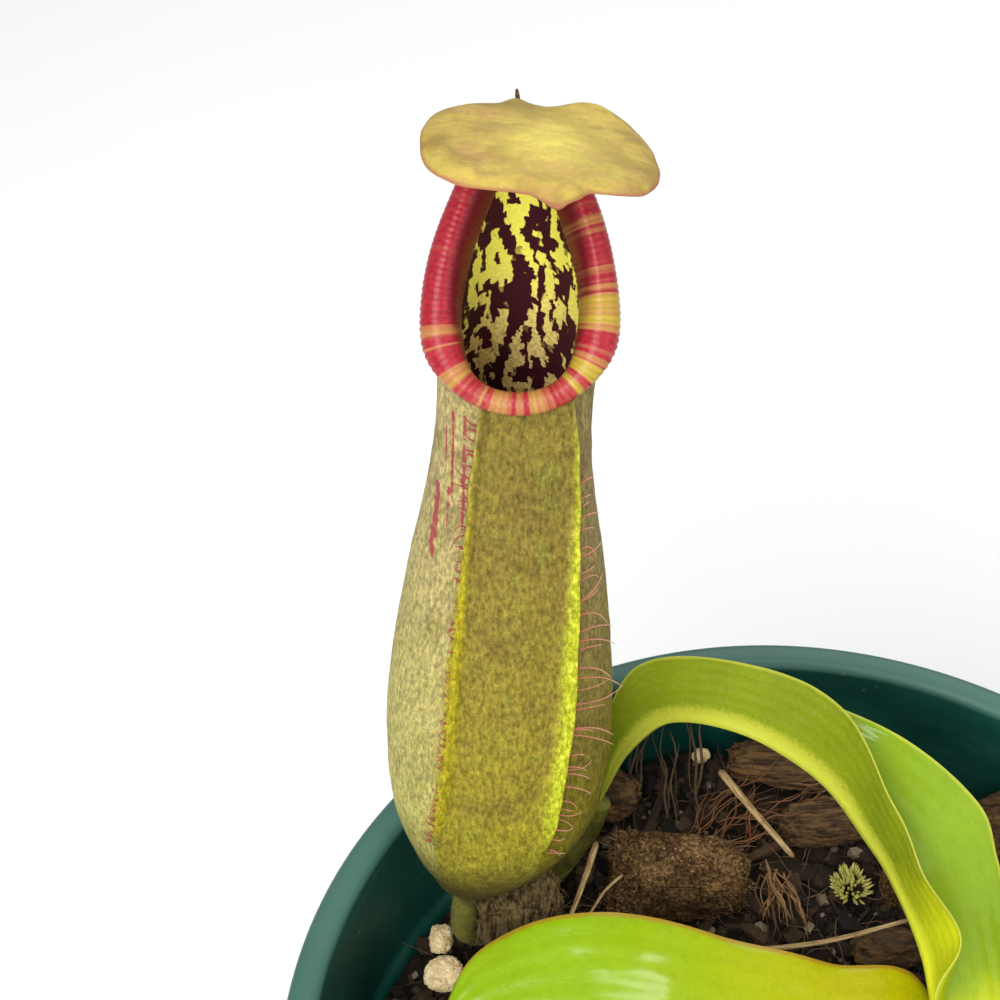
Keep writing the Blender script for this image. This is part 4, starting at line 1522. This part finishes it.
def makeTendril(node, look):  # a round cord through the route's points, with its hairs
    place = np.linspace(0, 1, 160)
    route = throughPoints(pointsFrom(node, look["route"]), place)
    first, last = look["ends"]
    radius = look["radius"] * mm * (first + (last - first) * place)
    grid = cordGrid(route, radius, 36, look["reference"], 0.05)
    finish = feltedGreen(node + " skin", look)
    addPiece(node + "_cord", closedTube(grid), finish, [node])
    makeHairs(node + "_hairs", grid, look["hairs"], (0.3, 0.8), 0.025, 95)


for node, look in tendrilLook.items():
    makeTendril(node, look)


stemLook = {"route": [(3.6, 3.4, 2.4), (3.6, 3.4, 8.9), (3.6, 3.4, 16.9)], "radius": 3.6, "rings": 5,
            "top": 0.8, "colour": (0.20, 0.22, 0.045), "dark": (0.10, 0.055, 0.02)}


def makeStem(look):
    # A stout cord whose radius swells at each old leaf base as the root of a sine.
    place = np.linspace(0, 1, 120)
    route = throughPoints(pointsFrom("main_stem", look["route"]), place)
    swell = 1 + 0.06 * np.abs(np.sin(np.pi * look["rings"] * place)) ** 0.5
    radius = look["radius"] * mm * (0.98 + (look["top"] - 1) * place) * swell
    grid = cordGrid(route, radius, 64, (1.0, 0.1, 0.0), 0.05)
    finish = feltedGreen("stem skin", look, 0.6)
    addPiece("main_stem_bark", closedTube(grid), finish, ["main_stem"])


youngLook = {"route": [(2.1, 3.1, 0.2), (2.6, 2.8, 6.7), (4.1, 1.9, 14.7), (6.6, 0.6, 21.7)], "radius": 2.2,
             "tip": 0.3, "upper": (0.42, 0.60, 0.05), "yellow": (0.60, 0.66, 0.08)}


def makeYoungLeaf(look):
    # A rolled blade: the radius drops by a step along a line that winds once round on its way up.
    steps, sides = 200, 90
    place = np.linspace(0, 1, steps)
    route = throughPoints(pointsFrom("young_leaf", look["route"]), place)
    radius = look["radius"] * mm * (1 + (look["tip"] - 1) * place)
    grid = cordGrid(route, radius, sides, (1.0, 0.2, 0.1))
    angle = (turnRound * np.arange(sides) / sides)[None, :]
    wound = np.mod(angle - turnRound * 0.9 * place[:, None], turnRound) / turnRound
    step = (1 - 0.20 * smoothStep(0.9, 1.0, wound)) * (0.92 + 0.10 * wound)
    grid = route[:, None] + (grid - route[:, None]) * step[..., None]
    skin = leafSkin("young leaf skin", {**usualLeaf, **look})
    ones = tubeValues(np.ones((steps, sides)))
    values = {"across": tubeValues(wound), "upper": ones, "along": 0 * ones}
    addPiece("young_leaf_roll", closedTube(grid), skin, ["young_leaf"], values)


makeStem(stemLook)
makeYoungLeaf(youngLook)


# Studio: a pale floor, soft lights and the camera

studioLook = {
    "camera": (-40.9, -124.3, 349.3), "pitch": 43.82, "lens": 70.2,
    "floor": (0.97, 0.97, 0.97), "reach": 4.0, "world": 0.42,
    # place in metres, aim in metres, size in metres, power
    "lights": {"key": ((-0.30, -0.42, 0.72), (-0.03, 0.03, 0.15), 0.5, 4.4),
               "front": ((-0.10, -0.62, 0.42), (-0.03, 0.04, 0.16), 0.4, 1.35),
               "top": ((0.034, -0.10, 0.91), (-0.02, 0.01, 0.12), 0.16, 0.9),
               "back": ((0.20, 0.60, 0.65), (0.0, 0.0, 0.12), 0.6, 1.9),
               "fill": ((0.55, -0.35, 0.55), (0.0, 0.0, 0.12), 0.7, 1.5)},
}


def makeStudio(look):  # lamps face from their place to their aim
    floorMesh = bpy.data.meshes.new("floor")
    reach = look["reach"]
    corners = [(-reach, -reach, 0), (reach, -reach, 0), (reach, reach, 0), (-reach, reach, 0)]
    floorMesh.from_pydata(corners, [], [(0, 1, 2, 3)])
    sheet = nodeSheet("pale floor", {"Specular IOR Level": 0.1, "Roughness": 0.9})
    shade = sheet.blend(sheet.noise(300, 2), look["floor"], shaded(look["floor"], 0.985))
    floorMesh.materials.append(sheet.finish(shade))
    floor = bpy.data.objects.new("floor", floorMesh)
    bpy.context.scene.collection.objects.link(floor)
    world = bpy.data.worlds.new("studio")
    world.use_nodes = True
    background = world.node_tree.nodes["Background"].inputs
    background["Color"].default_value = (1.0, 1.0, 1.0, 1.0)
    background["Strength"].default_value = look["world"]
    bpy.context.scene.world = world
    for name, (place, aim, size, power) in look["lights"].items():
        lamp = bpy.data.lights.new(name, "AREA")
        lamp.shape, lamp.size, lamp.energy = "DISK", size, power
        item = bpy.data.objects.new(name, lamp)
        item.location = place
        x, y, z = np.array(place) - np.array(aim)
        item.rotation_euler = (math.atan2(math.hypot(x, y), z), 0, math.atan2(y, x) + math.pi / 2)
        bpy.context.scene.collection.objects.link(item)
    camera = bpy.data.cameras.new("camera")
    camera.sensor_width, camera.lens, camera.clip_start = 36.0, look["lens"], 0.01
    view = bpy.data.objects.new("camera", camera)
    view.location = np.array(look["camera"]) * mm
    view.rotation_euler = (math.radians(look["pitch"]), 0, 0)
    bpy.context.scene.collection.objects.link(view)
    bpy.context.scene.camera = view
    bpy.context.scene.view_settings.view_transform = "Standard"


makeStudio(studioLook)

print("boxes written")
